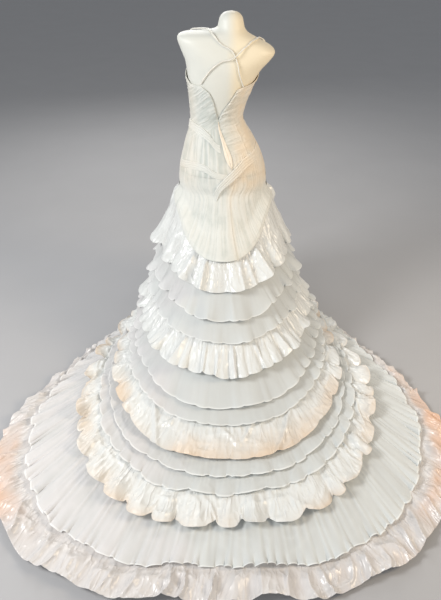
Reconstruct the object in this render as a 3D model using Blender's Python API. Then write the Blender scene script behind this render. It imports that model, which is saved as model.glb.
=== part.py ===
"""A mermaid wedding dress with a tiered train, on a limbless dress form.

Metres, +Z up. The origin is on the floor under the form's pole. The front of the dress faces -Y, the
wearer's left is +X and the train runs back along +Y.

The form's body and the garment are each one surface: a stack of rings, counted from the top down. A place
on a surface is a row number, which may fall between two rings, and an azimuth in degrees: 0 is the centre
back, 90 the wearer's left side and 180 the centre front. Each piece of cloth is a thin wall between two grids
of points on the garment's surface, and what lies on a piece is the same surface moved out along its normal.
"""

from typing import NamedTuple

import bmesh
import bpy
import numpy as np

WALL = 0.002
EASE = 0.0035  # from the form's skin to the cloth's inner side
SEAM = 0.0003  # between two pieces that are sewn edge to edge
LAYER = 0.0018  # from a piece to the piece that lies on it

FULL_TURN = 360.0
STEP = 0.5  # degrees between the stored points of a ring
TURN_NUDGE = 1.0  # degrees to each side, for a direction round a surface
ROW_NUDGE = 0.05  # rows up and down, for a direction down a surface
HALVINGS = 24  # when a row is looked for
SHARP_ANGLE = 50.0  # degrees between two faces, from which an edge looks sharp
RING = np.arange(-180.0, 180.0 + STEP, STEP)


class Section(NamedTuple):
    """One ring of the form: its height, sideways shift, half sizes, side slope in degrees and squareness."""

    height: float
    shift: float
    half_width: float
    front: float
    back: float
    tilt: float
    power: float


# The cap on the neck, the raised left shoulder, the waist that leans left, and the hips.
FORM = (
    Section(1.568, -0.019, 0.008, 0.008, 0.008, 0.0, 2.0),
    Section(1.562, -0.019, 0.030, 0.028, 0.030, 0.0, 2.0),
    Section(1.546, -0.019, 0.046, 0.044, 0.046, 0.0, 2.0),
    Section(1.524, -0.019, 0.052, 0.050, 0.054, 1.0, 2.0),
    Section(1.506, -0.019, 0.058, 0.055, 0.060, 3.0, 2.0),
    Section(1.492, -0.016, 0.078, 0.060, 0.068, 5.5, 2.0),
    Section(1.478, -0.011, 0.126, 0.064, 0.076, 7.5, 2.2),
    Section(1.463, -0.005, 0.180, 0.070, 0.083, 8.5, 2.5),
    Section(1.442, 0.000, 0.203, 0.078, 0.090, 8.5, 2.7),
    Section(1.405, 0.004, 0.187, 0.092, 0.102, 7.5, 2.5),
    Section(1.360, 0.012, 0.160, 0.103, 0.108, 6.0, 2.3),
    Section(1.300, 0.024, 0.140, 0.108, 0.105, 4.0, 2.2),
    Section(1.250, 0.030, 0.129, 0.102, 0.098, 2.0, 2.1),
    Section(1.190, 0.038, 0.116, 0.091, 0.086, 0.0, 2.0),
    Section(1.125, 0.041, 0.113, 0.083, 0.078, -3.0, 2.0),
    Section(1.050, 0.031, 0.146, 0.095, 0.097, -3.0, 2.1),
    Section(0.985, 0.022, 0.172, 0.106, 0.118, -2.0, 2.1),
    Section(0.920, 0.017, 0.190, 0.114, 0.134, -1.0, 2.1),
    Section(0.860, 0.015, 0.198, 0.116, 0.138, 0.0, 2.1),
    Section(0.800, 0.013, 0.190, 0.110, 0.130, 0.0, 2.1),
)
FORM_COLUMNS = 30
FORM_BETWEEN = (11.5, 12.5, 13.5, 14.5, 15.5, 16.5)  # more rows of the form's mesh, from the bust to the hips
FIRST_CLOTH_SECTION = 9  # the ring above the highest point of the bodice
BUST_HEIGHT = 1.275
BUST_APART = 0.074  # from the middle of the figure to the middle of a cup
BUST_OUT = 0.034
BUST_SPREAD = 0.052


class SkirtRing(NamedTuple):
    """One ring of the base skirt: heights, shift and lean to the side, train folds, and distances outwards."""

    back_z: float
    side_z: float
    front_z: float
    shift: float
    lean: float
    fold: float
    radii: tuple[float, ...]  # at the azimuths of RADII_AT


RADII_AT = (0.0, 20.0, 35.0, 50.0, 65.0, 90.0, 135.0, 180.0)
SKIRT = (
    SkirtRing(0.8, 0.8, 0.8, 0.013, 0.0, 0.0, (0.146, 0.152, 0.162, 0.176, 0.192, 0.204, 0.162, 0.13)),
    SkirtRing(0.7, 0.72, 0.72, 0.012, 0.0, 0.0, (0.192, 0.193, 0.196, 0.205, 0.218, 0.232, 0.184, 0.15)),
    SkirtRing(0.6, 0.62, 0.62, 0.01, 0.0, 0.0, (0.262, 0.255, 0.248, 0.246, 0.252, 0.262, 0.21, 0.172)),
    SkirtRing(0.5, 0.52, 0.52, 0.008, 0.0, 0.0, (0.343, 0.33, 0.31, 0.295, 0.289, 0.296, 0.236, 0.196)),
    SkirtRing(0.4, 0.42, 0.42, 0.004, 0.0, 0.0, (0.435, 0.413, 0.378, 0.35, 0.332, 0.33, 0.264, 0.222)),
    SkirtRing(0.3, 0.32, 0.32, 0.002, 0.0, 0.0, (0.54, 0.507, 0.456, 0.408, 0.376, 0.362, 0.292, 0.25)),
    SkirtRing(0.2, 0.22, 0.22, 0.0, 0.0, 0.0, (0.665, 0.62, 0.546, 0.476, 0.426, 0.396, 0.325, 0.282)),
    SkirtRing(0.125, 0.142, 0.142, -0.004, 0.0, 0.0, (0.8, 0.748, 0.654, 0.556, 0.482, 0.428, 0.35, 0.307)),
    SkirtRing(0.072, 0.084, 0.084, -0.008, 0.006, 0.0, (0.96, 0.91, 0.8, 0.664, 0.546, 0.46, 0.371, 0.328)),
    SkirtRing(0.038, 0.044, 0.044, -0.014, 0.018, 0.002, (1.14, 1.11, 0.992, 0.81, 0.628, 0.488, 0.391, 0.345)),
    SkirtRing(0.016, 0.018, 0.02, -0.022, 0.03, 0.005, (1.345, 1.35, 1.222, 0.995, 0.722, 0.514, 0.407, 0.358)),
    SkirtRing(0.002, 0.002, 0.002, -0.03, 0.044, 0.009, (1.58, 1.603, 1.505, 1.25, 0.845, 0.54, 0.42, 0.372)),
)
HIP_ROW = len(FORM) - 1 - FIRST_CLOTH_SECTION - 1  # the row that tier and skirt rows are counted from
TRAIN_FOLDS = 14
HEM_WAVE = 0.010  # how far the hem line swings in and out at a fold

SIDE_SEAM = 85.0
SEAM_INSET = 0.30  # degrees on each side of a seam between panels
WIDEST_COLUMN = 9.0
NARROWEST_COLUMN = 2.0
BODICE_ROWS = 12
BODICE_END = 1.25  # rows below the hip row
HIP_SEAM_HEIGHT = 0.905

# Top edge of the bodice: azimuth, height. It dips into the deep V at the centre back.
TOP_EDGE = (
    (-180.0, 1.325),
    (-150.0, 1.352),
    (-120.0, 1.345),
    (-90.0, 1.318),
    (-65.0, 1.298),
    (-41.0, 1.289),
    (-30.0, 1.281),
    (-25.0, 1.250),
    (-20.0, 1.222),
    (-12.5, 1.193),
    (-4.0, 1.150),
    (0.0, 1.171),
    (9.0, 1.231),
    (17.0, 1.269),
    (31.0, 1.293),
    (60.0, 1.298),
    (90.0, 1.330),
    (120.0, 1.352),
    (150.0, 1.355),
    (180.0, 1.325),
)
# Centre-back seam: height, azimuth. The dress is turned a little on the form.
CENTRE_BACK = ((1.15, -4.0), (1.03, -8.5), (0.92, -13.0), (0.80, -12.0), (0.50, -11.0))
# Lower edge of the seat panels: azimuth, rows below the hip row.
SEAT_EDGE = ((0.0, 3.40), (15.0, 3.35), (30.0, 3.10), (45.0, 2.70), (60.0, 2.10), (75.0, 1.60), (85.0, 1.35))
SEAT_OVER_SKIRT = 0.0042  # how far the panels stand out where they pass over the skirt's top edge
SEAT_OVER_ROWS = (0.60, 1.20)
SEAT_LIFT = 0.020  # how much further the lower edge stands off, over the first tier
SEAT_LIFT_ROWS = 0.95
SEAT_ROWS = 8
SEAT_COLUMNS = 10

# Line from which the first tier hangs: azimuth, rows below the hip row.
YOKE_LINE = (
    (0.0, 2.70),
    (30.0, 2.35),
    (45.0, 2.00),
    (60.0, 1.50),
    (75.0, 1.05),
    (87.0, 0.80),
    (100.0, 0.35),
    (180.0, 0.35),
)
LOWEST_ROW_SEARCHED = HIP_ROW + 4.0


class Gore(NamedTuple):
    """One gore of the base skirt, on each side of the back: from and to which azimuth, and its columns."""

    place: str
    start: float
    end: float
    columns: int


GORES = (
    Gore("back", 0.0, 40.0, 13),
    Gore("side", 40.0, 100.0, 11),
    Gore("front", 100.0, 180.0, 8),
)
SKIRT_START = BODICE_END + 0.01  # rows below the hip row
FIRST_SKIRT_RING = 2.0


class Tier(NamedTuple):
    """One gathered tier: its lower edge in rows below the hip row at the azimuths of TIER_AT, and its waves.

    The seat is the distance from the base skirt to the tier where it is sewn on, the trough the distance
    at its lower edge between two waves, and the depth the rise of its waves there.
    """

    name: str
    cloth: str
    end_back: float
    end_quarter: float
    end_side: float
    end_front: float
    waves: int
    rows: int
    seat: float
    trough: float
    depth: float


TIER_AT = (0.0, 50.0, 90.0, 180.0)
TIERS = (
    Tier("satin_tier_1", "satin", 4.50, 4.25, 4.00, 4.00, 12, 3, 0.0040, 0.016, 0.042),
    Tier("organza_tier_1", "organza", 5.45, 5.20, 5.00, 5.00, 14, 3, 0.0040, 0.018, 0.034),
    Tier("organza_tier_2", "organza", 6.15, 6.05, 5.95, 5.90, 14, 3, 0.0016, 0.017, 0.026),
    Tier("satin_tier_2", "satin", 7.10, 7.05, 7.00, 7.00, 18, 3, 0.0040, 0.022, 0.036),
    Tier("organza_tier_3", "organza", 8.05, 7.90, 7.80, 7.80, 14, 2, 0.0029, 0.019, 0.018),
    Tier("organza_tier_4", "organza", 8.50, 8.40, 8.30, 8.30, 14, 2, 0.0040, 0.018, 0.016),
    Tier("satin_tier_3", "satin", 9.40, 9.10, 9.00, 8.90, 12, 3, 0.0033, 0.018, 0.018),
    Tier("organza_tier_5", "organza", 9.80, 9.36, 9.30, 9.30, 14, 2, 0.0027, 0.016, 0.012),
    Tier("organza_tier_6", "organza", 10.20, 9.66, 9.62, 9.65, 16, 2, 0.0040, 0.016, 0.012),
    Tier("satin_tier_4", "satin", 10.85, 10.25, 10.22, 10.30, 22, 3, 0.0040, 0.016, 0.028),
    Tier("organza_tier_7", "organza", 11.45, 11.40, 11.40, 11.50, 20, 3, 0.0025, 0.012, 0.012),
)
TIER_OVERLAP = 0.33  # of the height that shows, hidden under the tier above
COLUMNS_PER_WAVE = 4
EDGE_SAMPLES = 1441  # round a lower edge, to measure its length
TROUGH_POWER = 1.3  # how late the troughs rise down the tier
WAVE_POWER = 2
UNEVENNESS = 0.2  # share of a wave's depth that changes round the tier
UNEVEN_TURNS = 5.0
SIDE_FULLNESS = 0.3  # share that the waves are deeper at the sides


class BandPoint(NamedTuple):
    """A band's upper and lower edge at one azimuth, and how far it stands off the panel."""

    azimuth: float
    upper: float
    lower: float
    stand: float


WAIST_BAND_LEFT = (
    BandPoint(82.0, 1.135, 1.100, 0.0026),
    BandPoint(50.0, 1.128, 1.092, 0.0026),
    BandPoint(16.0, 1.092, 1.056, LAYER),
    BandPoint(-1.0, 1.046, 1.012, LAYER),
)
HIP_BAND_LEFT = (
    BandPoint(80.0, 0.958, 0.924, 0.0011),
    BandPoint(45.0, 0.968, 0.934, 0.0011),
    BandPoint(20.0, 0.958, 0.926, 0.0011),
    BandPoint(7.0, 0.932, 0.904, 0.0011),
    BandPoint(-6.0, 0.924, 0.902, 0.0011),
)
HIP_BAND_RIGHT = (
    BandPoint(-82.0, 1.030, 0.992, 0.0011),
    BandPoint(-60.0, 1.010, 0.968, 0.0011),
    BandPoint(-32.0, 0.984, 0.938, 0.0023),
    BandPoint(-13.0, 0.938, 0.893, 0.0059),
    BandPoint(1.0, 0.892, 0.848, 0.0059),
    BandPoint(17.0, 0.800, 0.765, 0.0059),
    BandPoint(24.0, 0.752, 0.735, 0.0059),
)
BAND_COLUMNS = 10
BAND_PLEATS = 4
PLEAT_RISE = 0.0010

# Placket down the centre back: height, half width.
PLACKET = ((1.144, 0.002), (1.100, 0.005), (1.040, 0.010), (0.990, 0.014), (0.962, 0.009), (0.946, 0.002))
PLACKET_WALL = 0.0014
PLACKET_ROWS = 12
PLACKET_AZIMUTH = -8.0

STRAP_RADIUS = 0.0028
STRAP_SEAT = 0.0020  # from the form's skin to the strap
# Straps: row of the form's rings, azimuth, and lift off the form. They start at a cup and cross on the back.
STRAP_LEFT = (
    (10.12, 150.0, 0.0),
    (9.2, 146.0, 0.0),
    (8.2, 139.0, 0.0),
    (7.0, 127.0, 0.0),
    (5.9, 108.0, 0.0),
    (5.25, 82.0, 0.0),
    (5.6, 42.0, 0.0),
    (6.6, 14.0, 0.0),
    (8.0, -1.5, 0.0),
    (8.7, -7.0, 0.0),
    (9.4, -13.5, 0.0),
    (10.2, -23.0, 0.0),
    (11.02, -40.0, 0.0),
)
STRAP_RIGHT = (
    (9.85, -150.0, 0.0),
    (9.4, -146.0, 0.0),
    (8.2, -139.0, 0.0),
    (7.2, -127.0, 0.0),
    (6.3, -110.0, 0.0),
    (5.85, -80.0, 0.0),
    (6.25, -38.0, 0.0),
    (7.4, -16.0, 0.0010),
    (8.7, -7.0, 0.0066),
    (9.3, 3.0, 0.0010),
    (10.1, 17.0, 0.0),
    (11.02, 33.5, 0.0),
)
STRAP_POINTS = 28
STRAP_CORNERS = 1  # of the profile, between two quarters

POLE_RADIUS = 0.014
POLE_SIDES = 20
FOOT_RADIUS = 0.17
FOOT_HEIGHT = 0.028
FOOT_SIDES = 28
FOOT_EDGE = 0.008
FOOT_EDGE_STEPS = 2
SAME_HEIGHT = 1e-6
TOUCH = 0.0003  # between the pole and what it stands on or holds


class Finish(NamedTuple):
    """A plain finish."""

    name: str
    colour: tuple[float, float, float]
    roughness: float
    metallic: float = 0.0


CREPE = Finish("bodice_crepe", (0.82, 0.81, 0.74), 0.6)
TAPE = Finish("placket_tape", (0.84, 0.74, 0.61), 0.5)
STRAP_SATIN = Finish("strap_satin", (0.86, 0.84, 0.79), 0.4)
SKIRT_SATIN = Finish("skirt_satin", (0.86, 0.84, 0.79), 0.35)
TIER_CLOTH = {
    "satin": Finish("tier_satin", (0.86, 0.84, 0.79), 0.3),
    "organza": Finish("tier_organza", (0.78, 0.79, 0.77), 0.7),
}
FORM_SKIN = Finish("form_skin", (0.83, 0.80, 0.68), 0.55)
STEEL = Finish("stand_steel", (0.62, 0.62, 0.60), 0.35, 1.0)


def smooth_line(at, table):
    """The smooth curve through a table's rows of (place, value), level at both ends."""
    places, values = np.array(table, float).T
    order = np.argsort(places)
    places, values = places[order], values[order]
    slopes = np.gradient(values, places)
    slopes[[0, -1]] = 0.0
    at = np.clip(at, places[0], places[-1])
    i = np.clip(np.searchsorted(places, at, side="right") - 1, 0, len(places) - 2)
    width = places[i + 1] - places[i]
    f = (at - places[i]) / width
    rest = 1.0 - f
    return (
        values[i] * (1.0 + 2.0 * f) * rest**2
        + values[i + 1] * (3.0 - 2.0 * f) * f**2
        + width * f * rest * (slopes[i] * rest - slopes[i + 1] * f)
    )


def straight_line(at, table):
    """The straight stretches through a table's rows of (place, value)."""
    places, values = np.array(sorted(table), float).T
    return np.interp(at, places, values)


def around(azimuth):
    """The azimuth between -180 and 180."""
    return (np.asarray(azimuth, float) + 180.0) % FULL_TURN - 180.0


class Surface:
    """A stack of rings. Rows between two rings follow a Catmull-Rom curve through their points."""

    def __init__(self, rings):
        self.rings = np.array(rings)

    def at(self, row, azimuth):
        last = len(self.rings) - 1
        row, azimuth = np.broadcast_arrays(np.clip(np.asarray(row, float), 0, last), around(azimuth))
        place = (azimuth + 180.0) / STEP
        left = np.floor(place).astype(int)
        part = (place - left)[..., None]
        i = np.clip(np.floor(row).astype(int), 0, last - 1)
        f = (row - i)[..., None]

        def ring(number):
            number = np.clip(number, 0, last)
            return self.rings[number, left] * (1.0 - part) + self.rings[number, left + 1] * part

        before, start, end, after = (ring(i + k) for k in (-1, 0, 1, 2))
        return start + 0.5 * f * (
            end - before
            + f * (2.0 * before - 5.0 * start + 4.0 * end - after)
            + f**2 * (3.0 * (start - end) + after - before)
        )

    def moved_out(self, row, azimuth, out):
        """Points moved out along the normal, which is across times down."""
        row, azimuth = np.asarray(row), np.asarray(azimuth)
        across = self.at(row, azimuth + TURN_NUDGE) - self.at(row, azimuth - TURN_NUDGE)
        down = self.at(row + ROW_NUDGE, azimuth) - self.at(row - ROW_NUDGE, azimuth)
        normal = np.cross(across, down)
        normal /= np.linalg.norm(normal, axis=-1, keepdims=True)
        return self.at(row, azimuth) + normal * np.asarray(out)[..., None]


def section_ring(section, out=0.0):
    """A rounded ring of the form, moved out sideways, with a soft cup on each side of the front."""
    turn = np.radians(RING)
    across = np.sign(np.sin(turn)) * np.abs(np.sin(turn)) ** (2.0 / section.power)
    along = np.sign(np.cos(turn)) * np.abs(np.cos(turn)) ** (2.0 / section.power)
    depth = np.where(along > 0.0, section.back, section.front) + out
    x = (section.half_width + out) * across
    z = section.height + x * np.tan(np.radians(section.tilt))
    y = depth * along
    rise = (z - BUST_HEIGHT) / BUST_SPREAD
    cups = sum(np.exp(-0.5 * (((x - side * BUST_APART) / BUST_SPREAD) ** 2 + rise**2)) for side in (-1, 1))
    y -= BUST_OUT * cups * np.clip(-along, 0.0, 1.0)
    return np.stack([x + section.shift, y, z], axis=1)


def skirt_ring(ring, is_hem):
    """A ring of the base skirt. Its height runs smoothly from back to side to front, with train folds."""
    turn = np.radians(RING)
    radius = smooth_line(np.abs(RING), tuple(zip(RADII_AT, ring.radii)))
    back = np.clip(np.cos(turn), 0.0, 1.0) ** 2
    front = np.clip(-np.cos(turn), 0.0, 1.0) ** 2
    phase = 2.0 * np.pi * TRAIN_FOLDS * RING / 180.0
    if is_hem:
        radius = radius + HEM_WAVE * back * np.cos(phase)
    z = ring.side_z + (ring.back_z - ring.side_z) * back + (ring.front_z - ring.side_z) * front
    z = z + ring.fold * np.sqrt(back) * (1.0 - np.cos(phase)) / 2.0
    y = radius * np.cos(turn)
    return np.stack([radius * np.sin(turn) + ring.shift + ring.lean * y, y, z], axis=1)


def make_garment():
    """The garment's outer surface, from above the bodice down to the hem of the train."""
    rings = [section_ring(section, EASE + WALL) for section in FORM[FIRST_CLOTH_SECTION:-1]]
    rings += [skirt_ring(ring, ring is SKIRT[-1]) for ring in SKIRT]
    return Surface(rings)


FORM_BODY = Surface([section_ring(section) for section in FORM])
GARMENT = make_garment()


def row_at_height(height, azimuth):
    """The row of the garment at a height, found by halving."""
    height, azimuth = np.broadcast_arrays(np.asarray(height, float), np.asarray(azimuth, float))
    high, low = np.zeros(height.shape), np.full(height.shape, LOWEST_ROW_SEARCHED)
    for _ in range(HALVINGS):
        middle = (high + low) / 2.0
        above = GARMENT.at(middle, azimuth)[..., 2] > height
        high, low = np.where(above, middle, high), np.where(above, low, middle)
    return (high + low) / 2.0


def centre_back(row):
    """The azimuth of the centre-back seam at a row."""
    height = GARMENT.at(row, 0.0)[..., 2]
    return smooth_line(height, CENTRE_BACK)


def material(finish):
    """A finish's material, which is made once and shared."""
    made = bpy.data.materials.get(finish.name) or bpy.data.materials.new(finish.name)
    made.use_nodes = True
    shader = made.node_tree.nodes["Principled BSDF"]
    shader.inputs["Base Color"].default_value = (*finish.colour, 1.0)
    shader.inputs["Roughness"].default_value = finish.roughness
    shader.inputs["Metallic"].default_value = finish.metallic
    return made


def add_object(name, points, faces, finish):
    """A mesh object with its faces turned outwards and soft shading."""
    mesh = bpy.data.meshes.new(name)
    mesh.from_pydata(np.asarray(points).reshape(-1, 3).tolist(), [], faces)
    shape = bmesh.new()
    shape.from_mesh(mesh)
    bmesh.ops.recalc_face_normals(shape, faces=shape.faces)
    shape.to_mesh(mesh)
    shape.free()
    mesh.shade_smooth()
    mesh.set_sharp_from_angle(angle=np.radians(SHARP_ANGLE))
    made = bpy.data.objects.new(name, mesh)
    mesh.materials.append(material(finish))
    bpy.context.scene.collection.objects.link(made)
    return made


def wall(name, outer, inner, finish, closed=False):
    """A closed wall between an outer and an inner grid of points, both of rows and columns."""
    rows, columns = outer.shape[:2]
    number = np.arange(2 * rows * columns).reshape(2, rows, columns)
    if closed:
        number = np.concatenate([number, number[:, :, :1]], axis=2)
    out, inside = number
    quads = [
        np.stack([grid[:-1, :-1], grid[:-1, 1:], grid[1:, 1:], grid[1:, :-1]], axis=-1).reshape(-1, 4)
        for grid in (out, inside)
    ]
    for edge in (0, -1):
        quads.append(np.stack([out[edge, :-1], out[edge, 1:], inside[edge, 1:], inside[edge, :-1]], axis=-1))
        if not closed:
            side = [out[:-1, edge], out[1:, edge], inside[1:, edge], inside[:-1, edge]]
            quads.append(np.stack(side, axis=-1))
    points = np.concatenate([outer.reshape(-1, 3), inner.reshape(-1, 3)])
    return add_object(name, points, np.concatenate(quads).tolist(), finish)


def cloth(name, row, azimuth, out, finish, thickness=WALL, closed=False):
    """A wall on the garment's surface whose outer side stands a given distance off it."""
    out = np.broadcast_to(out, np.broadcast_shapes(np.shape(row), np.shape(azimuth), np.shape(out)))
    outer = GARMENT.moved_out(row, azimuth, out)
    inner = GARMENT.moved_out(row, azimuth, out - thickness)
    inner[..., 2] = np.maximum(inner[..., 2], 0.0)
    return wall(name, outer, inner, finish, closed)


def panel_columns(start, end):
    """Azimuths of a panel's columns: its ends, the top edge's corners between them, and enough others."""
    low, high = min(start, end), max(start, end)
    corners = [place + turn for place, _ in TOP_EDGE for turn in (0.0, FULL_TURN)]
    between = {place for place in corners if low + NARROWEST_COLUMN < place < high - NARROWEST_COLUMN}
    kept = [low, *sorted(between), high]
    columns = [low]
    for left, right in zip(kept, kept[1:]):
        pieces = int(np.ceil((right - left) / WIDEST_COLUMN))
        columns += list(np.linspace(left, right, pieces + 1)[1:])
    return np.array(columns)[None, :]


def turned(name, radius, height, base, sides, edge=0.0):
    """A steel disc or rod that stands on a height, its upper rim rounded by a bevel if it has an edge."""
    shape = bmesh.new()
    bmesh.ops.create_cone(
        shape, cap_ends=True, segments=sides, radius1=radius, radius2=radius, depth=height
    )
    if edge:
        top = height / 2.0
        rim = [line for line in shape.edges if all(abs(v.co.z - top) < SAME_HEIGHT for v in line.verts)]
        bmesh.ops.bevel(
            shape, geom=rim, offset=edge, segments=FOOT_EDGE_STEPS, affect="EDGES", profile=0.5
        )
    mesh = bpy.data.meshes.new(name)
    shape.to_mesh(mesh)
    shape.free()
    made = bpy.data.objects.new(name, mesh)
    made.location.z = base + height / 2.0
    mesh.materials.append(material(STEEL))
    bpy.context.scene.collection.objects.link(made)


def form_and_stand():
    """The form's body with a flat underside, its pole and its round foot."""
    row = np.union1d(np.arange(len(FORM)), FORM_BETWEEN)[:, None]
    azimuth = np.linspace(0.0, FULL_TURN, FORM_COLUMNS, endpoint=False)[None, :]
    points = FORM_BODY.at(row, azimuth)
    number = np.arange(row.size * FORM_COLUMNS).reshape(row.size, FORM_COLUMNS)
    number = np.concatenate([number, number[:, :1]], axis=1)
    grid = [number[:-1, :-1], number[:-1, 1:], number[1:, 1:], number[1:, :-1]]
    faces = np.stack(grid, axis=-1).reshape(-1, 4).tolist()
    faces += [number[0, :-1].tolist(), number[-1, :-1].tolist()]
    add_object("form_torso", points, faces, FORM_SKIN)

    turned("stand_foot", FOOT_RADIUS, FOOT_HEIGHT, 0.0, FOOT_SIDES, FOOT_EDGE)
    low, high = FOOT_HEIGHT + TOUCH, FORM[-1].height - TOUCH
    turned("stand_pole", POLE_RADIUS, high - low, low, POLE_SIDES)


def bodice():
    """The front with both cups, and the two backs that meet below the V."""
    azimuth = panel_columns(SIDE_SEAM, FULL_TURN - SIDE_SEAM)
    top = row_at_height(straight_line(around(azimuth), TOP_EDGE), azimuth)
    share = np.linspace(0.0, 1.0, BODICE_ROWS)[:, None]
    row = top + share * (HIP_ROW + BODICE_END - top)
    cloth("bodice_front", row, azimuth, 0.0, CREPE)

    for name, side in (("bodice_back_left", 1.0), ("bodice_back_right", -1.0)):
        middle = CENTRE_BACK[0][1] + side * SEAM_INSET
        edge = side * (SIDE_SEAM - SEAM_INSET)
        top_azimuth = panel_columns(middle, edge)
        part = (top_azimuth - middle) / (edge - middle)
        top = row_at_height(straight_line(top_azimuth, TOP_EDGE), top_azimuth)
        end = row_at_height(HIP_SEAM_HEIGHT, top_azimuth)
        row = top + share * (end - top)
        seam = centre_back(row) + side * SEAM_INSET
        cloth(name, row, seam + part * (edge - seam), 0.0, CREPE)


def seat_panels():
    """The two halves of the seat, from the hip seam to the rounded edge that lies over the first tier."""
    share = np.linspace(0.0, 1.0, SEAT_ROWS)[:, None]
    part = np.linspace(0.0, 1.0, SEAT_COLUMNS)[None, :]
    for name, side in (("seat_panel_left", 1.0), ("seat_panel_right", -1.0)):
        edge = side * (SIDE_SEAM - SEAM_INSET)
        guide = CENTRE_BACK[2][1] + part * (edge - CENTRE_BACK[2][1])
        top = row_at_height(HIP_SEAM_HEIGHT - 2.0 * SEAM, guide)
        end = HIP_ROW + straight_line(np.abs(guide), SEAT_EDGE)
        row = top + share * (end - top)
        seam = centre_back(row) + side * SEAM_INSET
        first, last = SEAT_OVER_ROWS
        over = np.clip((row - HIP_ROW - first) / (last - first), 0.0, 1.0)
        lift = np.clip((row - end + SEAT_LIFT_ROWS) / SEAT_LIFT_ROWS, 0.0, 1.0)
        out = SEAT_OVER_SKIRT * over + SEAT_LIFT * lift
        cloth(name, row, seam + part * (edge - seam), out, CREPE)


def pleated_band(name, table):
    """A flat band along the panels with raised pleats, between an upper and a lower edge."""
    azimuth = np.linspace(table[0].azimuth, table[-1].azimuth, BAND_COLUMNS)[None, :]
    upper, lower, stand = (
        smooth_line(azimuth, [(point.azimuth, point[k]) for point in table]) for k in (1, 2, 3)
    )
    rows = 2 * BAND_PLEATS + 1
    share = np.linspace(0.0, 1.0, rows)[:, None]
    row = row_at_height(upper + share * (lower - upper), azimuth + 0.0 * share)
    ridge = PLEAT_RISE * (np.arange(rows) % 2)[:, None]
    outer = GARMENT.moved_out(row, azimuth, stand + WALL + ridge)
    inner = GARMENT.moved_out(row, azimuth, stand + 0.0 * ridge)
    wall(name, outer, inner, CREPE)


def bands_and_placket():
    """The three pleated bands that cross the back, and the tape over the closed zip."""
    pleated_band("waist_band_left", WAIST_BAND_LEFT)
    pleated_band("hip_band_left", HIP_BAND_LEFT)
    pleated_band("hip_band_right", HIP_BAND_RIGHT)

    heights = np.linspace(PLACKET[0][0], PLACKET[-1][0], PLACKET_ROWS)[:, None]
    half = smooth_line(heights, PLACKET)
    row = row_at_height(heights, PLACKET_AZIMUTH)
    middle = centre_back(row)
    nudged = GARMENT.at(row, middle + TURN_NUDGE) - GARMENT.at(row, middle - TURN_NUDGE)
    degree = np.linalg.norm(nudged, axis=-1) / (2.0 * TURN_NUDGE)
    across = np.array([-1.0, 0.0, 1.0])[None, :]
    stand = LAYER + PLACKET_WALL
    cloth("zip_placket", row, middle + across * half / degree, stand, TAPE, PLACKET_WALL)


def strap(name, route):
    """A cord-like strap that follows a route on the form."""
    table = np.array(route)
    place = np.arange(len(table), dtype=float)
    at = np.linspace(0.0, len(table) - 1.0, STRAP_POINTS)
    row, azimuth, lift = (smooth_line(at, list(zip(place, column))) for column in table.T)
    points = FORM_BODY.moved_out(row, azimuth, STRAP_SEAT + STRAP_RADIUS + lift)
    curve = bpy.data.curves.new(name, "CURVE")
    curve.dimensions = "3D"
    curve.bevel_depth = STRAP_RADIUS
    curve.bevel_resolution = STRAP_CORNERS
    curve.use_fill_caps = True
    spline = curve.splines.new("POLY")
    spline.points.add(len(points) - 1)
    spline.points.foreach_set("co", np.hstack([points, np.ones((len(points), 1))]).ravel())
    made = bpy.data.objects.new(name, curve)
    curve.materials.append(material(STRAP_SATIN))
    bpy.context.scene.collection.objects.link(made)


def base_skirt():
    """Six gores from the bodice's lower edge to the hem. The last row lies on the floor."""
    last = len(SKIRT)
    row = HIP_ROW + np.array([SKIRT_START, *np.arange(FIRST_SKIRT_RING, last + 1.0)])[:, None]
    for place, start, end, columns in GORES:
        for hand, side in (("left", 1.0), ("right", -1.0)):
            radius = np.linalg.norm(GARMENT.at(row, side * (start + end) / 2.0)[..., :2], axis=-1)
            inset = np.degrees(SEAM / 2.0 / radius)
            share = np.linspace(0.0, 1.0, columns)[None, :]
            azimuth = start + inset + share * (end - start - 2.0 * inset)
            cloth(f"skirt_{place}_{hand}", row, side * azimuth, 0.0, SKIRT_SATIN)


def tier_columns(end, waves):
    """Azimuths of a tier's columns, evenly spaced along its lower edge, so that waves are of one width."""
    turn = np.linspace(-180.0, 180.0, EDGE_SAMPLES)
    points = GARMENT.at(HIP_ROW + end(turn), turn)
    length = np.concatenate([[0.0], np.cumsum(np.linalg.norm(np.diff(points, axis=0), axis=1))])
    count = waves * COLUMNS_PER_WAVE
    return np.interp(np.arange(count) / count * length[-1], length, turn)


def tiers():
    """The gathered tiers. Each starts flat under the one above, and its waves grow towards its lower edge."""

    def yoke(turn):
        return smooth_line(np.abs(turn), YOKE_LINE)

    above = yoke
    for tier in TIERS:
        ends = tuple(zip(TIER_AT, (tier.end_back, tier.end_quarter, tier.end_side, tier.end_front)))

        def end(turn, ends=ends):
            return smooth_line(np.abs(around(turn)), ends)

        azimuth = tier_columns(end, tier.waves)[None, :]
        low = end(azimuth)
        high = yoke(azimuth) if above is yoke else above(azimuth) - TIER_OVERLAP * (low - above(azimuth))
        share = np.linspace(0.0, 1.0, tier.rows)[:, None]
        row = HIP_ROW + high + share * (low - high)
        wave = (1.0 - np.cos(2.0 * np.pi * np.arange(azimuth.size) / COLUMNS_PER_WAVE)) / 2.0
        turn = np.radians(azimuth)
        uneven = 1.0 - UNEVENNESS * (1.0 - np.sin(UNEVEN_TURNS * turn + tier.waves))
        wide = 1.0 + SIDE_FULLNESS * np.sin(turn) ** 2
        flat = tier.seat + WALL
        out = flat + (tier.trough - flat) * share**TROUGH_POWER
        out = out + tier.depth * share**WAVE_POWER * wave * uneven * wide
        cloth(tier.name, row, azimuth, out, TIER_CLOTH[tier.cloth], closed=True)
        above = end


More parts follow.
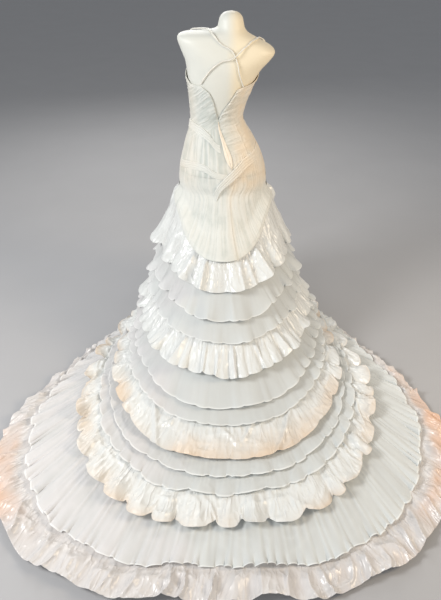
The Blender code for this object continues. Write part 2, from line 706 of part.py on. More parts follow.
def main():
    """Clears the scene and makes every piece."""
    for old in list(bpy.data.objects):
        bpy.data.objects.remove(old, do_unlink=True)
    form_and_stand()
    bodice()
    seat_panels()
    bands_and_placket()
    strap("strap_left", STRAP_LEFT)
    strap("strap_right", STRAP_RIGHT)
    base_skirt()
    tiers()


main()
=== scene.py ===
"""The looks of a mermaid wedding dress on a limbless dress form.

Metres, +Z up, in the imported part's own frame: the front of the dress faces -Y, the wearer's left is +X
and the train runs back along +Y. The form's skin and the garment are two surfaces, each a stack of rings.
A place on a surface is a row number, counted from the top ring down, and an azimuth in degrees: 0 is the
centre back, 90 the wearer's left side and 180 the centre front. Every piece of cloth is a grid of such
places, moved out along the surface's normal by its own folds, and ends in a rolled edge.
"""

from __future__ import annotations

import logging
from dataclasses import dataclass, field
from enum import Enum

import bpy
import numpy as np
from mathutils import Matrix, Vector

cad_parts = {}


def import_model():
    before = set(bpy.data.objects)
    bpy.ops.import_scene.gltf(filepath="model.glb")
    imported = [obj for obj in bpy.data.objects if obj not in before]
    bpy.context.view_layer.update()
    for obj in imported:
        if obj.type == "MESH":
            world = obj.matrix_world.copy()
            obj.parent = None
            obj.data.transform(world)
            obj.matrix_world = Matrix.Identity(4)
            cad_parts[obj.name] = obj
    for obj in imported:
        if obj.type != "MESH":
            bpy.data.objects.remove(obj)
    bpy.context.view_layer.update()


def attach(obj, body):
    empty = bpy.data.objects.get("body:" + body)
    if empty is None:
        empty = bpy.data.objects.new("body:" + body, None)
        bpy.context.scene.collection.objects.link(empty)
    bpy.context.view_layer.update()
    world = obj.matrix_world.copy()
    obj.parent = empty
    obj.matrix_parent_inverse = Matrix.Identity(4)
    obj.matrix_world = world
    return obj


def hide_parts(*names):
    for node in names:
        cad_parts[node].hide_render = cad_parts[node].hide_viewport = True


LOG = logging.getLogger("wedding_dress")

FULL_TURN = 360.0
STEP = 0.25  # degrees between the stored points of a ring
RING = np.arange(-180.0, 180.0 + STEP, STEP)
WALL = 0.002  # thickness of a cloth wall
EASE = 0.0035  # from the form's skin to the inside of the cloth
SEAM = 0.0003  # gap between two panels
SEAM_INSET = 0.05  # degrees from a bodice seam's line to a panel's edge
SIDE_SEAM = 85.0  # azimuth of the bodice's side seams
CRUMB = 1e-9  # keeps a divisor away from 0
ROLL_TURNS = (80.0, 160.0, 240.0)  # degrees round a rolled edge, a row of points each
ROLL_STEP = 0.001  # metres that each of those rows takes on the UV map
HEM_EDGE = 0.0022  # metres over which an edge's paler line fades
CREPE_ROLL = 0.0016  # radius of the crepe's rolled edges


@dataclass(frozen=True)
class Section:
    """One level ring of the form, in metres. Tilt is its side slope in degrees and power its squareness."""

    height: float
    shift: float
    half_width: float
    front: float
    back: float
    tilt: float
    power: float


FORM = (
    Section(1.568, -0.019, 0.008, 0.008, 0.008, 0.0, 2.0),
    Section(1.562, -0.019, 0.030, 0.028, 0.030, 0.0, 2.0),
    Section(1.546, -0.019, 0.046, 0.044, 0.046, 0.0, 2.0),
    Section(1.524, -0.019, 0.052, 0.050, 0.054, 1.0, 2.0),
    Section(1.506, -0.019, 0.058, 0.055, 0.060, 3.0, 2.0),
    Section(1.492, -0.016, 0.078, 0.060, 0.068, 5.5, 2.0),
    Section(1.478, -0.011, 0.126, 0.064, 0.076, 7.5, 2.2),
    Section(1.463, -0.005, 0.180, 0.070, 0.083, 8.5, 2.5),
    Section(1.442, 0.000, 0.203, 0.078, 0.090, 8.5, 2.7),
    Section(1.405, 0.004, 0.187, 0.092, 0.102, 7.5, 2.5),
    Section(1.360, 0.012, 0.160, 0.103, 0.108, 6.0, 2.3),
    Section(1.300, 0.024, 0.140, 0.108, 0.105, 4.0, 2.2),
    Section(1.250, 0.030, 0.129, 0.102, 0.098, 2.0, 2.1),
    Section(1.190, 0.038, 0.116, 0.091, 0.086, 0.0, 2.0),
    Section(1.125, 0.041, 0.113, 0.083, 0.078, -3.0, 2.0),
    Section(1.050, 0.031, 0.146, 0.095, 0.097, -3.0, 2.1),
    Section(0.985, 0.022, 0.172, 0.106, 0.118, -2.0, 2.1),
    Section(0.920, 0.017, 0.190, 0.114, 0.134, -1.0, 2.1),
    Section(0.860, 0.015, 0.198, 0.116, 0.138, 0.0, 2.1),
    Section(0.800, 0.013, 0.190, 0.110, 0.130, 0.0, 2.1),
)
FIRST_CLOTH_SECTION = 9
BUST_HEIGHT = 1.275
BUST_APART = 0.074
BUST_OUT = 0.034
BUST_SPREAD = 0.052


@dataclass(frozen=True)
class SkirtRing:
    """One ring of the base skirt: heights, shift and lean, train folds, and distances from the axis."""

    back_z: float
    side_z: float
    front_z: float
    shift: float
    lean: float
    fold: float
    radii: tuple[float, ...]


RADII_AT = (0.0, 20.0, 35.0, 50.0, 65.0, 90.0, 135.0, 180.0)
SKIRT = (
    SkirtRing(0.8, 0.8, 0.8, 0.013, 0.0, 0.0, (0.146, 0.152, 0.162, 0.176, 0.192, 0.204, 0.162, 0.13)),
    SkirtRing(0.7, 0.72, 0.72, 0.012, 0.0, 0.0, (0.192, 0.193, 0.196, 0.205, 0.218, 0.232, 0.184, 0.15)),
    SkirtRing(0.6, 0.62, 0.62, 0.01, 0.0, 0.0, (0.262, 0.255, 0.248, 0.246, 0.252, 0.262, 0.21, 0.172)),
    SkirtRing(0.5, 0.52, 0.52, 0.008, 0.0, 0.0, (0.343, 0.33, 0.31, 0.295, 0.289, 0.296, 0.236, 0.196)),
    SkirtRing(0.4, 0.42, 0.42, 0.004, 0.0, 0.0, (0.435, 0.413, 0.378, 0.35, 0.332, 0.33, 0.264, 0.222)),
    SkirtRing(0.3, 0.32, 0.32, 0.002, 0.0, 0.0, (0.54, 0.507, 0.456, 0.408, 0.376, 0.362, 0.292, 0.25)),
    SkirtRing(0.2, 0.22, 0.22, 0.0, 0.0, 0.0, (0.665, 0.62, 0.546, 0.476, 0.426, 0.396, 0.325, 0.282)),
    SkirtRing(0.125, 0.142, 0.142, -0.004, 0.0, 0.0, (0.8, 0.748, 0.654, 0.556, 0.482, 0.428, 0.35, 0.307)),
    SkirtRing(0.072, 0.084, 0.084, -0.008, 0.006, 0.0, (0.96, 0.91, 0.8, 0.664, 0.546, 0.46, 0.371, 0.328)),
    SkirtRing(
        0.038, 0.044, 0.044, -0.014, 0.018, 0.002, (1.14, 1.11, 0.992, 0.81, 0.628, 0.488, 0.391, 0.345)
    ),
    SkirtRing(
        0.016, 0.018, 0.02, -0.022, 0.03, 0.005, (1.345, 1.35, 1.222, 0.995, 0.722, 0.514, 0.407, 0.358)
    ),
    SkirtRing(0.002, 0.002, 0.002, -0.03, 0.044, 0.009, (1.58, 1.603, 1.505, 1.25, 0.845, 0.54, 0.42, 0.372)),
)
HIP_ROW = len(FORM) - FIRST_CLOTH_SECTION - 2
HEM_ROW = HIP_ROW + len(SKIRT)
TRAIN_FOLDS = 14  # on each side
HEM_WAVE = 0.010
BODICE_END = 1.25  # rows below the hip row at which the bodice's front ends
HIP_SEAM_HEIGHT = 0.905

TOP_EDGE = (
    (-180.0, 1.325),
    (-150.0, 1.352),
    (-120.0, 1.345),
    (-90.0, 1.318),
    (-65.0, 1.298),
    (-41.0, 1.289),
    (-30.0, 1.281),
    (-25.0, 1.250),
    (-20.0, 1.222),
    (-12.5, 1.193),
    (-4.0, 1.150),
    (0.0, 1.171),
    (9.0, 1.231),
    (17.0, 1.269),
    (31.0, 1.293),
    (60.0, 1.298),
    (90.0, 1.330),
    (120.0, 1.352),
    (150.0, 1.355),
    (180.0, 1.325),
)
CENTRE_BACK = ((1.15, -4.0), (1.03, -8.5), (0.92, -13.0), (0.80, -12.0), (0.50, -11.0))
SEAT_EDGE = ((0.0, 3.4), (15.0, 3.35), (30.0, 3.1), (45.0, 2.7), (60.0, 2.1), (75.0, 1.6), (85.0, 1.35))
SEAT_OVER_SKIRT = 0.0042
SEAT_OVER_ROWS = (0.60, 1.20)  # below the hip row, between which the seat moves out over the skirt
SEAT_LIFT = 0.020
SEAT_LIFT_ROWS = 0.95
YOKE_LINE = (
    (0.0, 2.70),
    (30.0, 2.35),
    (45.0, 2.00),
    (60.0, 1.50),
    (75.0, 1.05),
    (87.0, 0.80),
    (100.0, 0.35),
    (180.0, 0.35),
)
TIER_AT = (0.0, 50.0, 90.0, 180.0)
TIER_OVERLAP = 0.33  # of a tier's depth, under the tier above


def smooth_line(at: np.ndarray | float, table: tuple) -> np.ndarray:
    """The smooth curve through a table's rows of (place, value), level at both ends.

    Args:
        at: the places to read.
        table: rows of (place, value), in any order.
    Returns:
        The values: a cubic between each pair of rows, with the slopes of the rows beside it.
    """
    places, values = np.array(table, float).T
    order = np.argsort(places)
    places, values = places[order], values[order]
    slopes = np.gradient(values, places)
    slopes[[0, -1]] = 0.0
    at = np.clip(at, places[0], places[-1])
    i = np.clip(np.searchsorted(places, at, side="right") - 1, 0, len(places) - 2)
    width = places[i + 1] - places[i]
    f = (at - places[i]) / width
    rest = 1.0 - f
    return (
        values[i] * (1.0 + 2.0 * f) * rest**2
        + values[i + 1] * (3.0 - 2.0 * f) * f**2
        + width * f * rest * (slopes[i] * rest - slopes[i + 1] * f)
    )


def straight_line(at: np.ndarray | float, table: tuple) -> np.ndarray:
    """The straight stretches through a table's rows of (place, value)."""
    places, values = np.array(sorted(table), float).T
    return np.interp(at, places, values)


def bell(distance: np.ndarray, width: float) -> np.ndarray:
    """A bell: e to the power of minus the square of distance over width."""
    return np.exp(-((distance / width) ** 2))


def around(azimuth: np.ndarray | float) -> np.ndarray:
    """The azimuth between -180 and 180."""
    return (np.asarray(azimuth, float) + 180.0) % FULL_TURN - 180.0


def ease(value: np.ndarray, low: float, high: float) -> np.ndarray:
    """0 up to low, 1 from high on, and 3f^2 - 2f^3 between them."""
    f = np.clip((value - low) / (high - low), 0.0, 1.0)
    return f * f * (3.0 - 2.0 * f)


class Surface:
    """A stack of rings. Rows between two rings follow a Catmull-Rom curve through their points."""

    def __init__(self, rings: list[np.ndarray]) -> None:
        """Keeps the rings, each the points at the azimuths in RING."""
        self.rings = np.array(rings)

    def at(self, row: np.ndarray | float, azimuth: np.ndarray | float) -> np.ndarray:
        """Reads the surface.

        Args:
            row: row numbers, held between the first ring and the last.
            azimuth: azimuths in degrees.
        Returns:
            The points: straight between two places of a ring, and a Catmull-Rom curve between rings.
        """
        last = len(self.rings) - 1
        row, azimuth = np.broadcast_arrays(np.clip(np.asarray(row, float), 0, last), around(azimuth))
        place = (azimuth + 180.0) / STEP
        left = np.clip(np.floor(place).astype(int), 0, len(RING) - 2)
        part = (place - left)[..., None]
        i = np.clip(np.floor(row).astype(int), 0, last - 1)
        f = (row - i)[..., None]

        def ring(number: np.ndarray) -> np.ndarray:
            """The points of one ring for each place."""
            number = np.clip(number, 0, last)
            return self.rings[number, left] * (1.0 - part) + self.rings[number, left + 1] * part

        before, start, end, after = (ring(i + k) for k in (-1, 0, 1, 2))
        return start + 0.5 * f * (
            end - before
            + f * (2.0 * before - 5.0 * start + 4.0 * end - after)
            + f**2 * (3.0 * (start - end) + after - before)
        )

    def normal(self, row: np.ndarray | float, azimuth: np.ndarray | float) -> np.ndarray:
        """Finds which way the surface faces.

        Args:
            row: row numbers.
            azimuth: azimuths in degrees.
        Returns:
            The unit normals: the step across crossed with the step down.
        """
        across = self.at(row, np.asarray(azimuth) + 1.0) - self.at(row, np.asarray(azimuth) - 1.0)
        down = self.at(np.asarray(row) + 0.05, azimuth) - self.at(np.asarray(row) - 0.05, azimuth)
        normal = np.cross(across, down)
        return normal / np.maximum(np.linalg.norm(normal, axis=-1, keepdims=True), CRUMB)

    def moved_out(self, row: np.ndarray, azimuth: np.ndarray, out: np.ndarray | float) -> np.ndarray:
        """Points moved out along the normal by a distance."""
        return self.at(row, azimuth) + self.normal(row, azimuth) * np.asarray(out)[..., None]


def section_ring(section: Section, out: float = 0.0) -> np.ndarray:
    """A superellipse ring of the form, with a soft bell for each cup on the front.

    Args:
        section: the ring's sizes.
        out: how far it is moved out sideways.
    Returns:
        Its points. Across is the sine, and along the cosine, to the power of 2 over the squareness.
    """
    turn = np.radians(RING)
    across = np.sign(np.sin(turn)) * np.abs(np.sin(turn)) ** (2.0 / section.power)
    along = np.sign(np.cos(turn)) * np.abs(np.cos(turn)) ** (2.0 / section.power)
    depth = np.where(along > 0.0, section.back, section.front) + out
    x = (section.half_width + out) * across
    z = section.height + x * np.tan(np.radians(section.tilt))
    y = depth * along
    rise = (z - BUST_HEIGHT) / BUST_SPREAD
    cups = sum(np.exp(-0.5 * (((x - side * BUST_APART) / BUST_SPREAD) ** 2 + rise**2)) for side in (-1, 1))
    y -= BUST_OUT * cups * np.clip(-along, 0.0, 1.0)
    return np.stack([x + section.shift, y, z], axis=1)


def skirt_ring(ring: SkirtRing, is_hem: bool) -> np.ndarray:
    """A ring of the base skirt, whose height runs smoothly from back to side to front.

    Args:
        ring: the ring's sizes.
        is_hem: whether it is the last, which waves in and out.
    Returns:
        Its points. The back's and the front's share are the squared cosine, and folds rise on the train.
    """
    turn = np.radians(RING)
    radius = smooth_line(np.abs(RING), tuple(zip(RADII_AT, ring.radii)))
    back = np.clip(np.cos(turn), 0.0, 1.0) ** 2
    front = np.clip(-np.cos(turn), 0.0, 1.0) ** 2
    phase = 2.0 * np.pi * TRAIN_FOLDS * RING / 180.0
    if is_hem:
        radius = radius + HEM_WAVE * back * np.cos(phase)
    z = ring.side_z + (ring.back_z - ring.side_z) * back + (ring.front_z - ring.side_z) * front
    z = z + ring.fold * np.sqrt(back) * (1.0 - np.cos(phase)) / 2.0
    y = radius * np.cos(turn)
    return np.stack([radius * np.sin(turn) + ring.shift + ring.lean * y, y, z], axis=1)


def make_garment() -> Surface:
    """Stacks the form's rings, moved out, over the base skirt's.

    Returns:
        The garment's outer surface, from above the bodice down to the hem of the train.
    """
    rings = [section_ring(section, EASE + WALL) for section in FORM[FIRST_CLOTH_SECTION:-1]]
    rings += [skirt_ring(ring, ring is SKIRT[-1]) for ring in SKIRT]
    return Surface(rings)


FORM_BODY = Surface([section_ring(section) for section in FORM])
GARMENT = make_garment()


HALVINGS = 22


def row_at_height(height: np.ndarray | float, azimuth: np.ndarray | float) -> np.ndarray:
    """Finds the row of the garment at a height by halving.

    Args:
        height: heights in metres.
        azimuth: azimuths in degrees.
    Returns:
        The row at each.
    """
    height, azimuth = np.broadcast_arrays(np.asarray(height, float), np.asarray(azimuth, float))
    high, low = np.zeros(height.shape), np.full(height.shape, HIP_ROW + 4.0)
    for _ in range(HALVINGS):
        middle = (high + low) / 2.0
        above = GARMENT.at(middle, azimuth)[..., 2] > height
        high, low = np.where(above, middle, high), np.where(above, low, middle)
    return (high + low) / 2.0


def centre_back(row: np.ndarray) -> np.ndarray:
    """The azimuth of the centre-back seam at a row."""
    return smooth_line(GARMENT.at(row, 0.0)[..., 2], CENTRE_BACK)


class Noise:
    """Smooth value noise: random heights at whole-number places, joined by 3f^2 - 2f^3."""

    SIZE = 256

    def __init__(self, seed: int) -> None:
        """Draws the heights from a seed."""
        self.heights = np.random.default_rng(seed).uniform(-1.0, 1.0, (self.SIZE, self.SIZE))

    def at(self, u: np.ndarray, v: np.ndarray | float = 0.0, wrap: int = SIZE) -> np.ndarray:
        """Reads the noise.

        Args:
            u: places across, in cells.
            v: places down, in cells.
            wrap: cells of u after which the noise is the same again.
        Returns:
            Heights between -1 and 1.
        """
        u, v = np.broadcast_arrays(np.asarray(u, float), np.asarray(v, float))
        column, row = np.floor(u).astype(int), np.floor(v).astype(int)
        fu, fv = u - column, v - row
        fu, fv = fu * fu * (3.0 - 2.0 * fu), fv * fv * (3.0 - 2.0 * fv)

        def height(a: np.ndarray, b: np.ndarray) -> np.ndarray:
            """The stored height of each cell corner."""
            return self.heights[(a % wrap) % self.SIZE, b % self.SIZE]

        low = height(column, row) * (1.0 - fu) + height(column + 1, row) * fu
        high = height(column, row + 1) * (1.0 - fu) + height(column + 1, row + 1) * fu
        return low * (1.0 - fv) + high * fv

    def ridges(self, u: np.ndarray, v: np.ndarray | float = 0.0, wrap: int = SIZE) -> np.ndarray:
        """Rounded ridges between 0 and 1 with sharp valleys: the noise's size to the power 0.8."""
        return np.abs(self.at(u, v, wrap)) ** 0.8

    def crests(self, u: np.ndarray, v: np.ndarray | float = 0.0, wrap: int = SIZE) -> np.ndarray:
        """Sharp crests between 0 and 1: what the ridges lack of 1, to the power 1.5."""
        return (1.0 - self.ridges(u, v, wrap)) ** 1.5


class Waves:
    """Waves of uneven width and height round a closed edge, each from trough to crest to trough."""

    def __init__(self, count: int, jitter: float, spread: float, seed: int) -> None:
        """Draws the waves.

        Args:
            count: how many there are.
            jitter: how far a trough strays, as a share of a wave's width.
            spread: how much lower than 1 a wave may be.
            seed: the draw's seed.
        """
        rng = np.random.default_rng(seed)
        self.count = count
        self.troughs = (np.arange(count) + rng.uniform(-jitter, jitter, count)) / count
        self.heights = 1.0 - spread * rng.uniform(0.0, 1.0, count)

    def at(self, share: np.ndarray) -> tuple[np.ndarray, np.ndarray]:
        """Height and phase at each share of the way round.

        Args:
            share: places round the edge, from 0 to 1.
        Returns:
            The height, (1 - cos phase) / 2 times the wave's own height, and the phase in radians.
        """
        first = self.troughs[0]
        turned = (share - first) % 1.0
        knots = np.concatenate([self.troughs - first, [1.0]])
        place = np.interp(turned, knots, np.arange(self.count + 1.0))
        number = np.minimum(np.floor(place).astype(int), self.count - 1)
        phase = 2.0 * np.pi * place
        return self.heights[number] * (1.0 - np.cos(phase)) / 2.0, phase


@dataclass(frozen=True)
class Crease:
    """A listed fold: where it lies, between which shares of the depth, and its size in metres."""

    azimuth: float
    start: float
    end: float
    half_width: float
    rise: float
    slant: float = 0.0  # degrees that it turns from its start to its end


def creased(
    creases: tuple[Crease, ...], azimuth: np.ndarray, share: np.ndarray, radius: np.ndarray
) -> np.ndarray:
    """The rise of listed folds.

    Args:
        creases: the folds.
        azimuth: the azimuth of each point.
        share: how far down the piece each point is, from 0 to 1.
        radius: the distance of each point from the axis.
    Returns:
        The sum of bells across each fold, eased in and out along it.
    """
    total = np.zeros(np.broadcast_shapes(azimuth.shape, share.shape))
    for crease in creases:
        middle = crease.azimuth + crease.slant * (share - crease.start)
        across = np.radians(around(azimuth - middle)) * radius / crease.half_width
        soft = 0.35 * (crease.end - crease.start)
        along = ease(share, crease.start, crease.start + soft)
        if crease.end < 1.0:
            along = along * (1.0 - ease(share, crease.end - soft, crease.end))
        total = total + crease.rise * np.exp(-0.5 * across**2) * along
    return total


class Wire:
    """A number that runs through a material's nodes. Arithmetic on it adds Math nodes."""

    def __init__(self, finish: "Shader", socket: bpy.types.NodeSocket) -> None:
        """Wraps an output socket of a material that is being made."""
        self.finish = finish
        self.socket = socket

    def _math(self, operation: str, first: "Wire | float", second: "Wire | float") -> "Wire":
        """Adds one Math node."""
        made = self.finish.add("ShaderNodeMath", {"operation": operation}, {0: first, 1: second})
        return Wire(self.finish, made.outputs[0])

    def __add__(self, other: "Wire | float") -> "Wire":
        """self + other."""
        return self._math("ADD", self, other)

    __radd__ = __add__

    def __sub__(self, other: "Wire | float") -> "Wire":
        """self - other."""
        return self._math("SUBTRACT", self, other)

    def __rsub__(self, other: float) -> "Wire":
        """other - self."""
        return self._math("SUBTRACT", other, self)

    def __mul__(self, other: "Wire | float") -> "Wire":
        """self times other."""
        return self._math("MULTIPLY", self, other)

    __rmul__ = __mul__

    def __pow__(self, other: float) -> "Wire":
        """self to a power."""
        return self._math("POWER", self, other)

    def size(self) -> "Wire":
        """self without its sign."""
        return self._math("ABSOLUTE", self, 0.0)

    def between(self, low: float, high: float) -> "Wire":
        """Adds a smooth step.

        Args:
            low: the value up to which the step is 0.
            high: the value from which it is 1.
        Returns:
            The step.
        """
        sockets = {"Value": self, "From Min": low, "From Max": high}
        made = self.finish.add("ShaderNodeMapRange", {"interpolation_type": "SMOOTHSTEP"}, sockets)
        return Wire(self.finish, made.outputs[0])


class Shader:
    """One material's node tree, built a node at a time."""

    def __init__(self, name: str) -> None:
        """Starts an empty material.

        Args:
            name: its name.
        """
        self.material = bpy.data.materials.new(name)
        self.material.use_nodes = True
        self.tree = self.material.node_tree
        self.tree.nodes.clear()

    def add(self, kind: str, settings: dict | None = None, sockets: dict | None = None) -> bpy.types.Node:
        """Adds a node.

        Args:
            kind: the node's type name.
            settings: its properties, set first.
            sockets: values or links for its inputs, by name or number.
        Returns:
            The node.
        """
        node = self.tree.nodes.new(kind)
        for name, value in (settings or {}).items():
            setattr(node, name, value)
        for name, value in (sockets or {}).items():
            source = value.socket if isinstance(value, Wire) else value
            if isinstance(source, bpy.types.NodeSocket):
                self.tree.links.new(source, node.inputs[name])
            else:
                node.inputs[name].default_value = source
        return node

    def cloth_place(self, across: float, along: float) -> bpy.types.NodeSocket:
        """Reads the piece's own UV map, in metres along and down the cloth.

        Args:
            across: what the distance along is multiplied by.
            along: what the distance down is multiplied by.
        Returns:
            The place on the cloth.
        """
        uv = self.add("ShaderNodeUVMap", {"uv_map": "cloth"})
        scale = {0: uv.outputs[0], 1: (across, along, 1.0)}
        return self.add("ShaderNodeVectorMath", {"operation": "MULTIPLY"}, scale).outputs[0]

    def object_place(self) -> bpy.types.NodeSocket:
        """The point in the part's frame."""
        return self.add("ShaderNodeTexCoord").outputs["Object"]

    def attribute(self, name: str) -> Wire:
        """A number stored on the mesh's points."""
        return Wire(self, self.add("ShaderNodeAttribute", {"attribute_name": name}).outputs["Fac"])

    def noise(self, place: bpy.types.NodeSocket, scale: float, detail: float, rough: float) -> Wire:
        """Blender's noise, from 0 to 1, at a place."""
        sockets = {"Vector": place, "Scale": scale, "Detail": detail, "Roughness": rough}
        return Wire(self, self.add("ShaderNodeTexNoise", {}, sockets).outputs[0])

    def creases(self, place: bpy.types.NodeSocket, scale: float, detail: float) -> Wire:
        """Sharp ridges where the noise crosses its middle, from 0 to 1."""
        return 1.0 - (self.noise(place, scale, detail, 0.5) * 2.0 - 1.0).size() ** 0.7

    def blend(self, factor: Wire | float, first: object, second: object) -> bpy.types.NodeSocket:
        """Mixes two colours.

        Args:
            factor: 0 for the first and 1 for the second.
            first: a colour, as a tuple or a socket.
            second: the other one.
        Returns:
            The colour between them.
        """
        node = self.add("ShaderNodeMix", {"data_type": "RGBA", "clamp_factor": True}, {0: factor})
        for number, colour in ((6, first), (7, second)):
            if isinstance(colour, bpy.types.NodeSocket):
                self.tree.links.new(colour, node.inputs[number])
            else:
                node.inputs[number].default_value = (*colour, 1.0)
        return node.outputs[2]

    def bump(self, height: Wire, strength: float, distance: float) -> bpy.types.NodeSocket:
        """The normal over a relief of the given depth in metres."""
        sockets = {"Height": height, "Strength": strength, "Distance": distance}
        return self.add("ShaderNodeBump", {}, sockets).outputs[0]

    def close(self, sockets: dict) -> bpy.types.Material:
        """Adds the Principled shader and the output.

        Args:
            sockets: values or links for the shader's inputs.
        Returns:
            The material.
        """
        shader = self.add("ShaderNodeBsdfPrincipled", {}, sockets)
        self.add("ShaderNodeOutputMaterial", {}, {"Surface": shader.outputs[0]})
        return self.material


@dataclass(frozen=True)
class SatinFinish:
    """Bright satin: pale, a champagne cast of painted warm reflection where the mesh says so, painted shade
    in its low relief, sharp crumples and a fine weave.
    """

    name: str
    pale: tuple[float, float, float]
    warm: tuple[float, float, float]
    roughness: float
    crumple: float  # depth of the crumples in metres
    stretch: float  # how long the crumples run down the cloth, 1 for not at all and less for longer
    slot: str
    patch_cells: float = 9.0  # cells of each noise in a metre
    broad_cells: float = 16.0
    crease_cells: float = 26.0
    weave_cells: float = 240.0

    def make(self) -> bpy.types.Material:
        """Builds the material: cast and random patches blend in the champagne painted warm reflection, and
        low relief darkens it as painted shade.

        Returns:
            The material.
        """
        shader = Shader(self.name)
        cast = shader.attribute("cast")
        relief = shader.attribute("relief")
        patches = shader.noise(shader.object_place(), self.patch_cells, 3.0, 0.6)
        # painted reflection of warm light: the cast and random patches blend in the champagne colour
        colour = shader.blend((cast + (patches - 0.5) * 0.5).between(0.12, 0.95), self.pale, self.warm)
        # painted shade: low relief is darkened towards this colour
        shade = tuple(0.60 * pale + 0.12 * warm for pale, warm in zip(self.pale, self.warm))
        colour = shader.blend((1.0 - relief).between(0.30, 0.90) * 0.70, colour, shade)
        place = shader.cloth_place(1.0, self.stretch)
        broad = shader.noise(place, self.broad_cells, 1.0, 0.45)
        creases = shader.creases(place, self.crease_cells, 1.5)
        fine = shader.noise(shader.cloth_place(1.0, 0.5), self.weave_cells, 2.0, 0.6)
        normal = shader.bump(broad + creases * 0.75 + fine * 0.03, 1.0, self.crumple)
        sockets = {"Base Color": colour, "Roughness": fine * 0.10 + self.roughness, "Normal": normal}
        sockets.update({"Specular IOR Level": 0.75, "Sheen Weight": 0.10, "Sheen Roughness": 0.35})
        return shader.close(sockets)


@dataclass(frozen=True)
class OrganzaFinish:
    """Sheer organza: blue-white, rosier on the wearer's left, in fine streaks, darker in its low relief as
    painted shade, with a paler edge.
    """

    name: str
    body: tuple[float, float, float]
    rosy: tuple[float, float, float]
    edge: tuple[float, float, float]
    sheer: float  # how much of what is behind shows where the cloth is thinnest
    slot: str
    streak_cells: float = 34.0  # cells of each noise in a metre
    cloud_cells: float = 6.0
    patch_cells: float = 4.0

    def make(self) -> bpy.types.Material:
        """Builds the material: low relief is darker, as painted shade mixed with a random cloudiness, and low
        relief and thin streaks let more through.

        Returns:
            The material.
        """
        shader = Shader(self.name)
        place = shader.object_place()
        streaks = shader.noise(shader.cloth_place(1.0, 0.06), self.streak_cells, 2.0, 0.5)
        cloudy = shader.noise(place, self.cloud_cells, 3.0, 0.55)
        patch = shader.noise(place, self.patch_cells, 2.0, 0.5)
        side = Wire(shader, shader.add("ShaderNodeSeparateXYZ", {}, {0: place}).outputs[0])
        edge = shader.attribute("edge")
        relief = shader.attribute("relief")
        painted_shade_colour = tuple(0.82 * value for value in self.body)
        colour = shader.blend((side + (patch - 0.5) * 1.1).between(0.05, 0.45), self.body, self.rosy)
        # painted shade: low relief takes the darker colour, mixed with a random cloudiness
        colour = shader.blend(relief.between(0.05, 0.85) * 0.65 + cloudy * 0.35, painted_shade_colour, colour)
        colour = shader.blend(edge * 0.55, colour, self.edge)
        solid = edge * 0.5 + (1.0 - self.sheer) + streaks * 0.30 * self.sheer + relief * 0.3 * self.sheer
        normal = shader.bump(streaks + cloudy * 0.5, 0.35, 0.0020)
        sockets = {"Base Color": colour, "Roughness": 0.60, "Alpha": solid.between(-0.05, 1.05)}
        sockets.update({"Normal": normal, "Specular IOR Level": 0.35})
        sockets.update({"Sheen Weight": 0.35, "Sheen Roughness": 0.4})
        return shader.close(sockets)


@dataclass(frozen=True)
class CrepeFinish:
    """Crinkled crepe: cream, with painted shade, darker and a little greener, in its valleys, and painted
    peach warm light where the mesh says so.
    """

    name: str
    body: tuple[float, float, float]
    valley_shade: tuple[float, float, float]
    warm: tuple[float, float, float]
    slot: str
    crinkle_cells: float = 260.0  # cells of each noise in a metre
    mottle_cells: float = 16.0

    def make(self) -> bpy.types.Material:
        """Builds the material: relief, as painted shade, and a random mottle go from the shaded valley colour
        to the body, then the cast adds painted warm light.

        Returns:
            The material.
        """
        shader = Shader(self.name)
        relief = shader.attribute("relief")
        cast = shader.attribute("cast")
        crinkle = shader.noise(shader.cloth_place(1.0, 0.06), self.crinkle_cells, 3.0, 0.6)
        mottle = shader.noise(shader.object_place(), self.mottle_cells, 4.0, 0.6)
        # painted shade: low relief takes the darker valley colour, mixed with a random mottle
        high = (relief + (mottle - 0.5) * 1.3).between(-0.12, 0.85)
        # painted warm light: the cast blends in the warm colour
        colour = shader.blend(cast, shader.blend(high, self.valley_shade, self.body), self.warm)
        normal = shader.bump(crinkle + mottle * 0.3, 0.9, 0.0013)
        sockets = {"Base Color": colour, "Roughness": crinkle * 0.15 + 0.45, "Normal": normal}
        sockets.update({"Specular IOR Level": 0.4, "Sheen Weight": 0.25, "Sheen Roughness": 0.5})
        return shader.close(sockets)


@dataclass(frozen=True)
class ShellFinish:
    """The form's smooth moulded shell, with a faint orange-peel surface and painted warm light on one side.
    """

    name: str
    body: tuple[float, float, float]
    warm: tuple[float, float, float]
    slot: str
    mottle_cells: float = 9.0  # cells of each noise in a metre
    peel_cells: float = 420.0

    def make(self) -> bpy.types.Material:
        """Builds the material: a slow mottle, then the yellow painted warm light of the cast.

        Returns:
            The material.
        """
        shader = Shader(self.name)
        place = shader.object_place()
        mottle = shader.noise(place, self.mottle_cells, 3.0, 0.5)
        peel = shader.noise(place, self.peel_cells, 2.0, 0.5)
        colour = shader.blend(mottle * 0.5, self.body, tuple(0.93 * value for value in self.body))
        # painted warm light: the cast blends in the warm colour
        colour = shader.blend(shader.attribute("cast"), colour, self.warm)
        normal = shader.bump(peel, 0.35, 0.0003)
        return shader.close({"Base Color": colour, "Roughness": peel * 0.1 + 0.42, "Normal": normal})


@dataclass(frozen=True)
class SteelFinish:
    """Brushed steel for the pole and the foot."""

    name: str
    body: tuple[float, float, float]
    slot: str
    brush_cells: float = 180.0  # cells of the noise in a metre

    def make(self) -> bpy.types.Material:
        """Builds the material: one noise for colour, roughness and brush marks.

        Returns:
            The material.
        """
        shader = Shader(self.name)
        brushed = shader.noise(shader.object_place(), self.brush_cells, 3.0, 0.6)
        colour = shader.blend(brushed * 0.4, self.body, tuple(0.8 * value for value in self.body))
        sockets = {"Base Color": colour, "Roughness": brushed * 0.15 + 0.3, "Metallic": 1.0}
        return shader.close(sockets | {"Normal": shader.bump(brushed, 0.3, 0.0002)})


